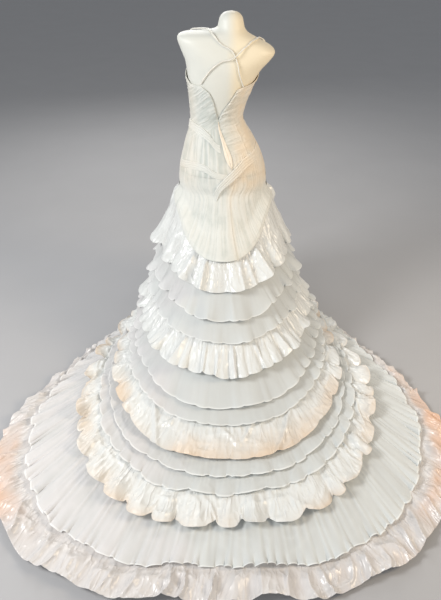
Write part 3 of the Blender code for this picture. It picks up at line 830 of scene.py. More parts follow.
class Finish(Enum):
    """Every finish on the dress and its form."""

    SATIN = SatinFinish(
        "gathered satin", (0.77, 0.785, 0.77), (0.76, 0.62, 0.48), 0.24, 0.0060, 0.50, "tier_satin"
    )
    # its warm colour is the peach painted warm light of the train's flanks
    TRAIN = SatinFinish(
        "train satin", (0.68, 0.655, 0.64), (0.78, 0.50, 0.34), 0.25, 0.0075, 0.40, "skirt_satin"
    )
    STRAP = SatinFinish(
        "strap satin", (0.80, 0.79, 0.74), (0.80, 0.68, 0.50), 0.35, 0.0003, 1.0, "strap_satin"
    )
    ORGANZA = OrganzaFinish(
        "sheer organza",
        (0.73, 0.755, 0.745),
        (0.765, 0.745, 0.745),
        (0.90, 0.91, 0.89),
        0.30,
        "tier_organza",
    )
    CREPE = CrepeFinish(
        "ruched crepe", (0.725, 0.735, 0.695), (0.54, 0.575, 0.54), (0.82, 0.68, 0.51), "bodice_crepe"
    )
    TAPE = CrepeFinish(
        "placket tape", (0.88, 0.79, 0.66), (0.78, 0.66, 0.53), (0.86, 0.76, 0.62), "placket_tape"
    )
    SHELL = ShellFinish("form shell", (0.73, 0.735, 0.68), (0.86, 0.76, 0.57), "form_skin")
    STEEL = SteelFinish("stand steel", (0.60, 0.60, 0.58), "stand_steel")

    def material(self) -> bpy.types.Material:
        """The finish's material, made the first time that it is asked for."""
        return bpy.data.materials.get(self.value.name) or self.value.make()


class Hand(Enum):
    """The wearer's two sides, each with the sign of its azimuths."""

    LEFT = 1.0
    RIGHT = -1.0


@dataclass
class Sheet:
    """A grid of points for one piece of cloth, with what its material reads."""

    points: np.ndarray
    closed: bool = False
    # relief: fold height, which the finishes darken where low as painted shade
    relief: np.ndarray | float = 0.6
    # cast: share of the finish's warm colour, on most pieces painted warm light or reflection
    cast: np.ndarray | float = 0.0
    roll: float = 0.0012  # radius of the rolled edge
    least_share: float = 0.31  # of width times length, for the stated area

    def whole_rows(self) -> np.ndarray:
        """The points, with the first column again at the end of a closed sheet."""
        return np.concatenate([self.points, self.points[:, :1]], axis=1) if self.closed else self.points

    def lengths(self) -> tuple[np.ndarray, np.ndarray]:
        """Works out the sheet's UV map in metres.

        Returns:
            Distances along the cloth's last row, and down it in the mean of its columns.
        """
        across = np.cumsum(np.linalg.norm(np.diff(self.whole_rows()[-1], axis=0), axis=1))
        steps = np.linalg.norm(np.diff(self.points, axis=0), axis=2)
        down = np.cumsum(steps.mean(axis=1))
        return np.concatenate([[0.0], across]), np.concatenate([[0.0], down])

    def cut(self) -> tuple[float, float, float]:
        """Lays the sheet flat.

        Returns:
            The longest row, the mean depth, and the grid's own area, held between a least share of
            width times length and the whole of it.
        """
        rows = self.whole_rows()
        width = np.linalg.norm(np.diff(rows, axis=1), axis=2).sum(axis=1).max()
        length = np.linalg.norm(np.diff(self.points, axis=0), axis=2).sum(axis=0).mean()
        sides = [rows[:-1, 1:] - rows[:-1, :-1], rows[1:, :-1] - rows[:-1, :-1]]
        area = np.linalg.norm(np.cross(*sides), axis=2).sum()
        area = np.clip(area, self.least_share * width * length, width * length)
        return float(width), float(length), float(area)

    def rolled(self, at_start: bool = False) -> np.ndarray:
        """Rolls an edge: a small circle leaves the last row, or the first, and curls inwards.

        Args:
            at_start: whether the first row is rolled and not the last.
        Returns:
            One row of points for each turn in ROLL_TURNS.
        """
        edge, inner = (self.points[0], self.points[1]) if at_start else (self.points[-1], self.points[-2])
        down = edge - inner
        down /= np.maximum(np.linalg.norm(down, axis=1, keepdims=True), CRUMB)
        if self.closed:
            across = np.roll(edge, -1, axis=0) - np.roll(edge, 1, axis=0)
        else:
            across = np.gradient(edge, axis=0)
        side = np.cross(across, down) * (-1.0 if at_start else 1.0)
        side /= np.maximum(np.linalg.norm(side, axis=1, keepdims=True), CRUMB)
        turns = np.radians(ROLL_TURNS)
        return np.stack([edge + self.roll * (down * np.sin(t) - side * (1.0 - np.cos(t))) for t in turns])


def corners(grid: np.ndarray) -> np.ndarray:
    """The values at the four corners of each cell of a grid, in the order that faces out."""
    return np.stack([grid[:-1, :-1], grid[:-1, 1:], grid[1:, 1:], grid[1:, :-1]], axis=2)


def quads(rows: int, columns: int, closed: bool) -> np.ndarray:
    """Joins a grid's points into faces.

    Args:
        rows: the number of rows of points.
        columns: the number of points in a row.
        closed: whether the last column meets the first.
    Returns:
        Four point numbers for each face.
    """
    number = np.arange(rows * columns).reshape(rows, columns)
    if closed:
        number = np.concatenate([number, number[:, :1]], axis=1)
    return corners(number).reshape(-1, 4)


def facing_out(azimuth: np.ndarray, *grids: np.ndarray) -> list[np.ndarray]:
    """The grids with their columns in rising order of azimuth, so that their faces point out."""
    step = -1 if azimuth[0, 0] > azimuth[0, -1] else 1
    return [grid[:, ::step] for grid in grids]


def scene_object(name: str, mesh: bpy.types.Mesh, finish: Finish) -> bpy.types.Object:
    """Puts a smooth mesh with its finish into the scene.

    Args:
        name: the object's name.
        mesh: its mesh, in the part's frame.
        finish: its material.
    Returns:
        The object, at the origin.
    """
    mesh.shade_smooth()
    mesh.materials.append(finish.material())
    made = bpy.data.objects.new(name, mesh)
    bpy.context.scene.collection.objects.link(made)
    return made


def store(mesh: bpy.types.Mesh, label: str, values: np.ndarray) -> None:
    """Keeps a number between 0 and 1 for each point of a mesh."""
    kept = mesh.attributes.new(label, "FLOAT", "POINT")
    kept.data.foreach_set("value", np.clip(values, 0.0, 1.0).astype(np.float32).ravel())


def grid_object(
    name: str, sheet: Sheet, finish: Finish, roll_start: bool = False, roll_end: bool = True
) -> bpy.types.Object:
    """Makes a sheet's mesh, in rows and columns of faces that point out, with its rolled edges.

    Args:
        name: the object's name.
        sheet: the grid and what goes with it.
        finish: its material.
        roll_start: whether the first row ends in a roll.
        roll_end: whether the last row does.
    Returns:
        The object, at the origin.
    """
    across, down = sheet.lengths()
    points = sheet.points
    edge = bell(down[-1] - down, HEM_EDGE)
    if roll_start:
        points = np.concatenate([sheet.rolled(at_start=True)[::-1], points])
        edge = bell(down, HEM_EDGE) + edge
    if roll_end:
        points = np.concatenate([points, sheet.rolled()])
    before, after = (len(ROLL_TURNS) if rolls else 0 for rolls in (roll_start, roll_end))
    early = down[0] - ROLL_STEP * np.arange(before, 0, -1)
    late = down[-1] + ROLL_STEP * np.arange(1, after + 1)
    down = np.concatenate([early, down, late])
    faces = quads(*points.shape[:2], sheet.closed)
    uvs = corners(np.stack(np.broadcast_arrays(across[None, :], down[:, None]), axis=-1)).reshape(-1, 2)

    mesh = bpy.data.meshes.new(name)
    mesh.vertices.add(points.shape[0] * points.shape[1])
    mesh.vertices.foreach_set("co", points.astype(np.float32).ravel())
    mesh.loops.add(faces.size)
    mesh.loops.foreach_set("vertex_index", faces.astype(np.int32).ravel())
    mesh.polygons.add(len(faces))
    mesh.polygons.foreach_set("loop_start", np.arange(0, faces.size, 4, dtype=np.int32))
    mesh.update(calc_edges=True)
    mesh.validate()
    layer = mesh.uv_layers.new(name="cloth")
    layer.data.foreach_set("uv", uvs.astype(np.float32).ravel())
    for label, values in (("relief", sheet.relief), ("cast", sheet.cast), ("edge", edge[:, None])):
        values = np.broadcast_to(values, sheet.points.shape[:2])
        store(mesh, label, np.pad(values, ((before, after), (0, 0)), mode="edge"))
    return scene_object(name, mesh, finish)


def dress_up(piece: bpy.types.Object, finish: Finish, *nodes: str) -> bpy.types.Object:
    """Gives a piece its body and hides the solids that it stands for.

    Args:
        piece: the object.
        finish: not used.
        nodes: the solids.
    Returns:
        The object.
    """
    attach(piece, "root")
    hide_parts(*nodes)
    LOG.info("%s: %d faces, for %s", piece.name, len(piece.data.polygons), ", ".join(nodes))
    return piece


def cloth_piece(
    name: str,
    sheet: Sheet,
    finish: Finish,
    node: str,
    rolls: tuple[bool, bool] = (False, True),
) -> bpy.types.Object:
    """Makes and dresses one piece of cloth, and logs its cut.

    Args:
        name: the piece's name.
        sheet: its grid.
        finish: its material.
        node: the solid that it stands for.
        rolls: whether its first and last rows end in a roll.
    Returns:
        The object.
    """
    made = grid_object(name, sheet, finish, *rolls)
    dress_up(made, finish, node)
    width, length, area = sheet.cut()
    LOG.info("%s: cut %.3f by %.3f m, %.3f square metres", name, width, length, area)
    return made


@dataclass
class DressForm:
    """The form's shell with its capped neck, and the stand under the skirt."""

    rows: int = 100
    columns: int = 84
    sides: int = 72  # of the pole and the foot
    pole_radius: float = 0.014
    foot_radius: float = 0.17
    foot_height: float = 0.028
    foot_edge: float = 0.008
    touch: float = 0.0003  # gap between the stand's pieces
    collar_radius: float = 0.024
    collar_height: float = 0.05
    collar_chamfer: float = 0.002
    collar_taper: float = 0.008
    shell_sharp: float = 60.0  # degrees from which an edge stays sharp
    steel_sharp: float = 40.0
    warm_light_from: float = -0.005  # metres to the wearer's right between which the painted warm light on that side begins
    warm_light_to: float = 0.05

    def turned(self, name: str, profile: list[tuple[float, float]], finish: Finish) -> bpy.types.Object:
        """A profile of (radius, height) points carried round the vertical axis.

        Args:
            name: the piece's name.
            profile: points from the top of the axis down to its bottom.
            finish: its material.
        Returns:
            The closed mesh, with one point at each pole.
        """
        turn = np.linspace(0.0, 2.0 * np.pi, self.sides, endpoint=False)
        radius, height = np.array(profile[1:-1]).T
        ring = np.stack([np.outer(radius, np.sin(turn)), np.outer(radius, np.cos(turn))], axis=-1)
        points = np.concatenate([ring, np.repeat(height[:, None, None], self.sides, axis=1)], axis=-1)
        top = len(points) * self.sides
        first = np.arange(self.sides)
        last = first + top - self.sides
        upper = np.stack([np.full(self.sides, top), np.roll(first, -1), first], axis=1)
        lower = np.stack([np.full(self.sides, top + 1), last, np.roll(last, -1)], axis=1)
        faces = quads(len(points), self.sides, True).tolist() + upper.tolist() + lower.tolist()
        poles = [(0.0, 0.0, profile[0][1]), (0.0, 0.0, profile[-1][1])]
        mesh = bpy.data.meshes.new(name)
        mesh.from_pydata(points.reshape(-1, 3).tolist() + poles, [], faces)
        made = scene_object(name, mesh, finish)
        mesh.set_sharp_from_angle(angle=np.radians(self.steel_sharp))
        return made

    def shell(self) -> None:
        """The shell: the form's surface in fine rings, closed by a cap at each end."""
        row = np.linspace(0.0, len(FORM) - 1.0, self.rows)[:, None]
        azimuth = np.linspace(0.0, FULL_TURN, self.columns, endpoint=False)[None, :]
        points = FORM_BODY.at(row, azimuth)
        first = np.arange(self.columns)
        last = first + (self.rows - 1) * self.columns
        faces = quads(self.rows, self.columns, True).tolist() + [first[::-1].tolist(), last.tolist()]
        mesh = bpy.data.meshes.new("form_shell")
        mesh.from_pydata(points.reshape(-1, 3).tolist(), [], faces)
        # painted warm light on the wearer's right side of the shell
        store(mesh, "cast", ease(-points[..., 0], self.warm_light_from, self.warm_light_to))
        made = scene_object("form_shell", mesh, Finish.SHELL)
        mesh.set_sharp_from_angle(angle=np.radians(self.shell_sharp))
        dress_up(made, Finish.SHELL, "form_torso")

    def stand(self) -> None:
        """The pole with a collar at its top, and the round foot."""
        low, high = self.foot_height + self.touch, FORM[-1].height - self.touch
        collar = high - self.collar_height
        pole = [(0.0, high), (self.collar_radius - self.collar_chamfer, high)]
        pole += [(self.collar_radius, high - self.collar_chamfer), (self.collar_radius, collar)]
        pole += [(self.pole_radius, collar - self.collar_taper), (self.pole_radius, low), (0.0, low)]
        dress_up(self.turned("pole", pole, Finish.STEEL), Finish.STEEL, "stand_pole")
        bend = np.radians(np.linspace(90.0, 0.0, 6))
        inner, top = self.foot_radius - self.foot_edge, self.foot_height - self.foot_edge
        foot = [(0.0, self.foot_height)]
        foot += [(inner + self.foot_edge * np.cos(t), top + self.foot_edge * np.sin(t)) for t in bend]
        foot += [(self.foot_radius, 0.0), (0.0, 0.0)]
        dress_up(self.turned("foot", foot, Finish.STEEL), Finish.STEEL, "stand_foot")

    def build(self) -> None:
        """Makes every piece."""
        self.shell()
        self.stand()


@dataclass(frozen=True)
class Band:
    """A pleated band: its places are azimuth, upper and lower height, and stand off the panel."""

    name: str
    node: str
    lies_on: tuple[str, ...]
    places: tuple[tuple[float, float, float, float], ...]
    seed: float


@dataclass
class Bodice:
    """The ruched front and backs, the seat, the pleated bands, the placket and the crossed straps."""

    body_radius: float = 0.14  # turns an azimuth into a distance round the body
    gather_pitch: float = 0.0070  # between two gathers that run round the body
    gather_length: float = 0.070
    gather_rise: float = 0.0032
    gather_sway: float = 0.006
    crinkle_pitch: float = 0.0068  # between two crinkles that run down
    crinkle_length: float = 0.16
    crinkle_rise: float = 0.0019
    crinkle_sway: float = 0.0016
    sink: float = 0.0006  # how far the valleys lie inside the solid's face
    turn_front: tuple[float, float] = (1.04, 1.10)  # heights between which crinkles become gathers
    turn_left: float = 1.10
    turn_left_drop: float = 0.0006  # for each degree away from the centre back
    turn_right: float = 1.00
    turn_soft: tuple[float, float] = (-0.01, 0.02)
    edge_calm: float = 0.012  # depth below the top edge over which the folds are pressed flat
    pucker_depth: float = 0.06
    edge_stand: float = 0.0030  # how far the top edge stands off the form at the sides
    stand_at: float = 80.0
    stand_spread: float = 26.0
    stand_depth: float = 0.018
    princess_at: tuple[float, float] = (38.0, -42.0)  # azimuths of the raised seams beside the centre back
    princess_top: tuple[float, float] = (1.12, 1.16)  # heights between which those seams fade out
    seam_rise: float = 0.0014
    seat_flare: float = 0.022  # of the distance from the axis, at the seat's hem
    hem_lines: tuple[tuple[float, float, float], ...] = ((0.016, 0.0016, 1.0), (0.008, 0.0012, 0.7))
    hem_rise: float = 0.0012
    noise: Noise = field(default_factory=lambda: Noise(11))

    def ruching(
        self, points: np.ndarray, azimuth: np.ndarray, zone: np.ndarray, slope: float
    ) -> np.ndarray:
        """Heights of the crinkled cloth.

        Args:
            points: the plain surface's points.
            azimuth: their azimuths.
            zone: 1 where gathers run round the body and 0 where crinkles run down it.
            slope: how much the gathers drop per metre round the body.
        Returns:
            Ridges of stretched noise in each direction, blended by the zone, between 0 and 1.
        """
        girth = np.radians(azimuth) * self.body_radius
        height = points[..., 2]
        sway = self.gather_sway * self.noise.at(girth / 0.05 + 31.0, height / 0.05)
        level = (height + slope * np.abs(girth) + sway) / self.gather_pitch
        along = girth / self.gather_length
        rounds = 0.7 * self.noise.ridges(along, level)
        rounds = rounds + 0.3 * self.noise.ridges(along * 2.3 + 9.0, level * 0.55)
        shift = self.crinkle_sway * self.noise.at(girth / 0.03, height / 0.05 + 50.0)
        side = (girth + shift) / self.crinkle_pitch
        down = self.noise.ridges(side, height / self.crinkle_length + 17.0)
        return rounds * zone + down * (1.0 - zone)

    def panel(
        self,
        name: str,
        node: str,
        azimuth: np.ndarray,
        top: np.ndarray,
        end: np.ndarray,
        rows: int,
        slope: float,
        side: float,
    ) -> None:
        """One bodice panel between two rows of the garment at each column.

        Its rise is the ruching times the gathers' or the crinkles' height, puckered below the top edge and
        pressed flat at it, plus bells for the standing edge and the raised seams, less a small sink.

        Args:
            name: the piece's name.
            node: the solid that it stands for.
            azimuth: the azimuth of each column.
            top: the row at which each column starts.
            end: the row at which it ends.
            rows: the number of rows of points.
            slope: how much the gathers drop per metre round the body.
            side: 1 for the left back, -1 for the right back and 0 for the front.
        """
        share = np.linspace(0.0, 1.0, rows)[:, None]
        row = top + share * (end - top)
        if side != 0.0:
            edge = side * (SIDE_SEAM - SEAM_INSET)
            middle = CENTRE_BACK[0][1] + side * SEAM_INSET
            part = (azimuth - middle) / (edge - middle)
            seam = centre_back(row) + side * SEAM_INSET
            azimuth = seam + part * (edge - seam)
        azimuth = azimuth + 0.0 * row
        plain = GARMENT.at(row, azimuth)
        height = plain[..., 2]
        if side == 0.0:
            zone = ease(height, *self.turn_front)
        else:
            left_line = self.turn_left - self.turn_left_drop * np.abs(azimuth)
            line = left_line if side > 0.0 else self.turn_right
            zone = ease(height, line + self.turn_soft[0], line + self.turn_soft[1])
        relief = self.ruching(plain, azimuth, zone, slope)
        from_top = height[0] - height
        calm = 1.0 - 0.8 * (1.0 - ease(from_top, 0.0, self.edge_calm))
        pucker = 1.0 + 0.6 * bell(from_top, self.pucker_depth)
        rise = (self.gather_rise * zone + self.crinkle_rise * (1.0 - zone)) * pucker * calm
        sides = bell(np.abs(around(azimuth)) - self.stand_at, self.stand_spread)
        stand = self.edge_stand * sides * bell(from_top, self.stand_depth)
        seams = sum(bell(azimuth - at, 1.1) for at in self.princess_at)
        seams = seams * (1.0 - ease(height, *self.princess_top)) * self.seam_rise
        points = GARMENT.moved_out(row, azimuth, rise * relief + stand + seams - self.sink)
        points, relief, cast = facing_out(azimuth, points, relief, self.painted_warm_light(plain, azimuth))
        sheet = Sheet(points, relief=relief, cast=cast, roll=CREPE_ROLL)
        cloth_piece(name, sheet, Finish.CREPE, node, rolls=(True, False))

    def painted_warm_light(self, points: np.ndarray, azimuth: np.ndarray) -> np.ndarray:
        """The peach cast of painted warm light on the wearer's right side and on the far left.

        Args:
            points: the plain surface's points.
            azimuth: their azimuths.
        Returns:
            A step up on each side, mottled by noise.
        """
        right = ease(-points[..., 0], -0.05, 0.10)
        left = 0.35 * ease(points[..., 0], 0.10, 0.16)
        mottle = 0.75 + 0.25 * self.noise.at(azimuth / 9.0, points[..., 2] * 30.0)
        return np.clip(0.95 * right + left, 0.0, 1.0) * mottle

    def panels(self) -> None:
        """The front between the side seams, and the two backs that meet below the V."""
        azimuth = np.linspace(SIDE_SEAM, FULL_TURN - SIDE_SEAM, 120)[None, :]
        top = row_at_height(straight_line(around(azimuth), TOP_EDGE), azimuth)
        end = np.full(top.shape, HIP_ROW + BODICE_END)
        self.panel("ruched_front", "bodice_front", azimuth, top, end, 130, 0.10, 0.0)
        for hand, slope in ((Hand.LEFT, 0.55), (Hand.RIGHT, -0.18)):
            side, label = hand.value, hand.name.lower()
            middle, edge = CENTRE_BACK[0][1] + side * SEAM_INSET, side * (SIDE_SEAM - SEAM_INSET)
            azimuth = np.linspace(middle, edge, 130)[None, :]
            top = row_at_height(straight_line(azimuth, TOP_EDGE), azimuth)
            end = row_at_height(HIP_SEAM_HEIGHT, azimuth)
            self.panel(f"ruched_back_{label}", f"bodice_back_{label}", azimuth, top, end, 165, slope, side)

    def seat(self, hand: Hand) -> None:
        """One half of the seat, crinkled down its length, with a double hem.

        It lies on the body, eases out to lie over the skirt and lifts at its hem. A flare of noise grows
        with the square of the share of its depth. Bells raise the seams and the two lines along the hem.

        Args:
            hand: which half.
        """
        rows, columns = 130, 130
        side, label = hand.value, hand.name.lower()
        share = np.linspace(0.0, 1.0, rows)[:, None]
        part = np.linspace(0.0, 1.0, columns)[None, :]
        edge = side * (SIDE_SEAM - SEAM_INSET)
        guide = CENTRE_BACK[2][1] + part * (edge - CENTRE_BACK[2][1])
        top = row_at_height(HIP_SEAM_HEIGHT - 2.0 * SEAM, guide)
        end = HIP_ROW + smooth_line(np.abs(guide), SEAT_EDGE)
        row = top + share * (end - top)
        seam = centre_back(row) + side * SEAM_INSET
        azimuth = seam + part * (edge - seam)
        over = SEAT_OVER_SKIRT * ease(row - HIP_ROW, *SEAT_OVER_ROWS)
        lift = SEAT_LIFT * ease(row - end, -SEAT_LIFT_ROWS, 0.0)
        plain = GARMENT.at(row, azimuth)
        relief = self.ruching(plain, azimuth, np.zeros(row.shape), 0.0)
        girth = np.linalg.norm(plain[..., :2], axis=-1)
        flare = 0.5 + 0.5 * self.noise.at(azimuth / 7.0 + 5.0, 0.6 * share)
        flare = flare * girth * self.seat_flare * share**2
        from_seam = np.abs(azimuth - seam) * np.radians(1.0) * girth
        seams = sum(bell(azimuth - at, 1.2) for at in self.princess_at) + bell(from_seam, 0.004)
        depth = np.linalg.norm(np.diff(plain, axis=0), axis=2).sum(axis=0)[None, :]
        from_hem = (1.0 - share) * depth
        hem = sum(strength * bell(from_hem - at, width) for at, width, strength in self.hem_lines)
        calm = ease(from_hem, 0.004, 0.02)
        out = over + lift + flare + self.seam_rise * seams
        out = out + self.crinkle_rise * 0.80 * relief * calm + self.hem_rise * hem - self.sink
        points = GARMENT.moved_out(row, azimuth, out)
        # painted warm light, fading down the seat, plus a warmer line along the centre seam
        cast = (1.0 - 0.85 * ease(share, 0.0, 0.6)) * self.painted_warm_light(plain, azimuth)
        cast = cast + 0.30 * bell(from_seam, 0.012)
        points, relief, cast = facing_out(azimuth, points, relief, cast)
        sheet = Sheet(points, relief=0.35 + 0.65 * relief, cast=cast, roll=CREPE_ROLL)
        cloth_piece(f"seat_{label}", sheet, Finish.CREPE, f"seat_panel_{label}")

    def band(self, band: Band) -> None:
        """A pleated band that crosses the back.

        It rises by the root of a sine's size, one wave a pleat, softened by noise, and tapers to the
        panel at both edges and at its end.

        Args:
            band: its names and places.
        """
        rows, columns = 46, 130
        at, *lines = np.array(band.places).T
        azimuth = np.linspace(at[0], at[-1], columns)[None, :]
        upper, lower, stand = (smooth_line(azimuth, tuple(zip(at, line))) for line in lines)
        share = np.linspace(0.0, 1.0, rows)[:, None]
        sway = 0.004 * self.noise.at(azimuth / 14.0 + 3.0, share * 2.0 + band.seed)
        height = upper + share * (lower - upper) + sway * np.sin(np.pi * share)
        row = row_at_height(height, azimuth + 0.0 * share)
        stray = 0.04 * self.noise.at(azimuth / 11.0, band.seed + 7.0)
        cords = np.sqrt(np.abs(np.sin(np.pi * BAND_PLEATS * (share + stray))))
        soft = 0.75 + 0.25 * self.noise.at(azimuth / 5.0, share * 6.0 + band.seed)
        out = stand + WALL + BAND_RISE * cords * soft
        ends = 1.0 - ease(np.minimum(share, 1.0 - share), 0.0, 0.05)
        reach = np.linspace(0.0, 1.0, columns)[None, :]
        ends = np.maximum(ends, 1.0 - ease(1.0 - reach, 0.0, 0.22))
        out = out - (out - BAND_TAPER) * ends
        points = GARMENT.moved_out(row, azimuth, out)
        cast = self.painted_warm_light(GARMENT.at(row, azimuth), azimuth)
        points, relief, cast = facing_out(azimuth, points, cords + 0.0 * azimuth, cast)
        sheet = Sheet(points, relief=relief, cast=cast, roll=0.0008)
        cloth_piece(band.name, sheet, Finish.CREPE, band.node)

    def placket(self) -> None:
        """The peach tape down the centre back, folded in along the closed zip.

        It rises to each side of a sharp bell along its middle and falls off with the fourth power of the
        share across.
        """
        rows, columns = 90, 25
        heights = np.linspace(PLACKET[0][0], PLACKET[-1][0], rows)[:, None]
        half = smooth_line(heights, PLACKET)
        row = row_at_height(heights, -8.0)
        middle = centre_back(row)
        radius = np.linalg.norm(GARMENT.at(row, middle + 1.0) - GARMENT.at(row, middle - 1.0), axis=-1)
        across = np.linspace(-1.0, 1.0, columns)[None, :]
        azimuth = middle + across * half / radius * 2.0
        fold = 1.0 - bell(across, 0.12)
        wave = 0.0006 * self.noise.at(heights * 55.0, across * 1.5 + 4.0)
        out = PLACKET_STAND + PLACKET_RISE * fold * (1.0 - across**4) + wave
        points = GARMENT.moved_out(row, azimuth, out)
        # the fold's low relief takes the tape's darker valley colour as painted shade
        sheet = Sheet(points, relief=fold + 0.0 * heights, roll=0.0006)
        cloth_piece("placket", sheet, Finish.TAPE, "zip_placket")

    def strap(self, name: str, route: tuple, node: str) -> None:
        """A rolled strap: a round profile carried along a smooth route on the form, twisted a little.

        Args:
            name: the piece's name.
            route: its places, each a row and an azimuth of the form and a lift in metres.
            node: the solid that it stands for.
        """
        rings, sides = 200, 14
        table = np.array(route)
        place = np.arange(len(table), dtype=float)
        at = np.linspace(0.0, len(table) - 1.0, rings)
        row, azimuth, lift = (smooth_line(at, tuple(zip(place, column))) for column in table.T)
        path = FORM_BODY.moved_out(row, azimuth, STRAP_SEAT + STRAP_RADIUS + lift)
        along = np.gradient(path, axis=0)
        along /= np.linalg.norm(along, axis=1, keepdims=True)
        side = np.cross(along, FORM_BODY.normal(row, azimuth))
        side /= np.linalg.norm(side, axis=1, keepdims=True)
        out = np.cross(side, along)
        turn = np.linspace(0.0, 2.0 * np.pi, sides, endpoint=False)
        twist = STRAP_TWIST * np.linspace(0.0, 1.0, rings)[:, None]
        radius = STRAP_RADIUS * (0.90 + 0.10 * np.cos(2.0 * turn[None, :] + twist))
        radius[[0, -1]] *= 0.6
        points = path[:, None] + radius[..., None] * (
            np.cos(turn)[None, :, None] * out[:, None] + np.sin(turn)[None, :, None] * side[:, None]
        )
        sheet = Sheet(points[:, ::-1], closed=True, cast=0.3)
        made = grid_object(name, sheet, Finish.STRAP, False, False)
        dress_up(made, Finish.STRAP, node)

    def build(self) -> None:
        """Makes every piece."""
        self.panels()
        for hand in Hand:
            self.seat(hand)
        for band in BANDS:
            self.band(band)
        self.placket()
        self.strap("strap_to_left", STRAP_LEFT, "strap_left")
        self.strap("strap_to_right", STRAP_RIGHT, "strap_right")


BAND_PLEATS = 4
BAND_RISE = 0.0018
BAND_TAPER = 0.0012  # from the panel to a band at its edges and its end
BANDS = (
    Band(
        "waist_pleats_left",
        "waist_band_left",
        ("ruched_back_left",),
        (
            (82.0, 1.135, 1.100, 0.0026),
            (50.0, 1.128, 1.092, 0.0026),
            (16.0, 1.092, 1.056, 0.0018),
            (-1.0, 1.046, 1.012, 0.0018),
        ),
        1.0,
    ),
    Band(
        "hip_pleats_left",
        "hip_band_left",
        ("ruched_back_left",),
        (
            (80.0, 0.958, 0.924, 0.0011),
            (45.0, 0.968, 0.934, 0.0011),
            (20.0, 0.958, 0.926, 0.0011),
            (7.0, 0.932, 0.904, 0.0011),
            (-6.0, 0.924, 0.902, 0.0011),
        ),
        2.0,
    ),
    Band(
        "hip_pleats_right",
        "hip_band_right",
        ("ruched_back_right", "hip_pleats_left", "seat_left"),
        (
            (-82.0, 1.030, 0.992, 0.0011),
            (-60.0, 1.010, 0.968, 0.0011),
            (-32.0, 0.984, 0.938, 0.0023),
            (-13.0, 0.938, 0.893, 0.0059),
            (1.0, 0.892, 0.848, 0.0059),
            (17.0, 0.800, 0.765, 0.0059),
            (24.0, 0.752, 0.735, 0.0059),
        ),
        3.0,
    ),
)
PLACKET = ((1.144, 0.002), (1.100, 0.005), (1.040, 0.010), (0.990, 0.014), (0.962, 0.009), (0.946, 0.002))
PLACKET_STAND = 0.0028
PLACKET_RISE = 0.0016

STRAP_RADIUS = 0.0028
STRAP_SEAT = 0.0020  # from the form's skin to the strap
STRAP_TWIST = 60.0  # radians from end to end
STRAP_LEFT = (
    (10.12, 150.0, 0.0),
    (9.2, 146.0, 0.0),
    (8.2, 139.0, 0.0),
    (7.0, 127.0, 0.0),
    (5.9, 108.0, 0.0),
    (5.25, 82.0, 0.0),
    (5.6, 42.0, 0.0),
    (6.6, 14.0, 0.0),
    (8.0, -1.5, 0.0),
    (8.7, -7.0, 0.0),
    (9.4, -13.5, 0.0),
    (10.2, -23.0, 0.0),
    (11.02, -40.0, 0.0),
)
STRAP_RIGHT = (
    (9.85, -150.0, 0.0),
    (9.4, -146.0, 0.0),
    (8.2, -139.0, 0.0),
    (7.2, -127.0, 0.0),
    (6.3, -110.0, 0.0),
    (5.85, -80.0, 0.0),
    (6.25, -38.0, 0.0),
    (7.4, -16.0, 0.0010),
    (8.7, -7.0, 0.0066),
    (9.3, 3.0, 0.0010),
    (10.1, 17.0, 0.0),
    (11.02, 33.5, 0.0),
)


@dataclass(frozen=True)
class Petals:
    """Deep folds that overlap at a tier's sides, in metres, with the share of them at the centre back."""

    width: float
    rise: float
    back: float
    curl: float  # how far a fold leans over its neighbour, as a share of its width
    scallop: float  # how much lower the hem hangs at a fold's crest


@dataclass(frozen=True)
class Frills:
    """Small forms on a tier: crumples, fine gathers under the seam and ripples along the hem, in metres."""

    crumple: float
    gather_width: float
    gather_rise: float
    ripple_width: float
    ripple_rise: float


@dataclass(frozen=True)
class Tier:
    """One gathered tier: its main shape, as its solid has it, and the finer forms that show on it.

    The ends are its lower edge in rows below the hip row at the azimuths of TIER_AT.
    """

    node: str
    finish: Finish
    ends: tuple[float, float, float, float]
    waves: int
    seat: float
    trough: float
    depth: float
    columns: int
    rows: int
    petals: Petals
    frills: Frills
    cast: float  # champagne cast, a painted reflection of warm light
    creases: tuple[Crease, ...] = ()


FIRST_CREASES = (
    Crease(14.6, 0.36, 1.0, 0.006, 0.026),
    Crease(10.5, 0.40, 1.0, 0.010, -0.008),
    Crease(-13.0, 0.40, 1.0, 0.008, 0.009),
    Crease(-20.0, 0.40, 1.0, 0.008, 0.012, -4.0),
    Crease(26.0, 0.36, 1.0, 0.012, 0.016, 6.0),
    Crease(-31.0, 0.36, 1.0, 0.014, 0.018, -6.0),
    Crease(93.0, 0.0, 0.45, 0.016, 0.016),
    Crease(-91.0, 0.0, 0.40, 0.016, 0.024),
)
SECOND_CREASES = (
    Crease(-3.0, 0.2, 1.0, 0.006, 0.014),
    Crease(3.0, 0.3, 1.0, 0.005, 0.010),
    Crease(8.5, 0.2, 1.0, 0.006, 0.014),
    Crease(-13.0, 0.2, 1.0, 0.007, 0.014, -3.0),
    Crease(19.0, 0.2, 1.0, 0.008, 0.015, 3.0),
    Crease(28.0, 0.2, 1.0, 0.008, 0.015, 4.0),
    Crease(-25.0, 0.2, 1.0, 0.009, 0.016, -4.0),
)
THIRD_CREASES = (
    Crease(-8.0, 0.1, 0.75, 0.010, 0.009, 8.0),
    Crease(2.0, 0.2, 0.80, 0.008, 0.008, -10.0),
    Crease(12.0, 0.1, 0.70, 0.010, 0.010, 12.0),
    Crease(-20.0, 0.1, 1.0, 0.012, 0.012, 9.0),
    Crease(24.0, 0.1, 1.0, 0.012, 0.012, -8.0),
)
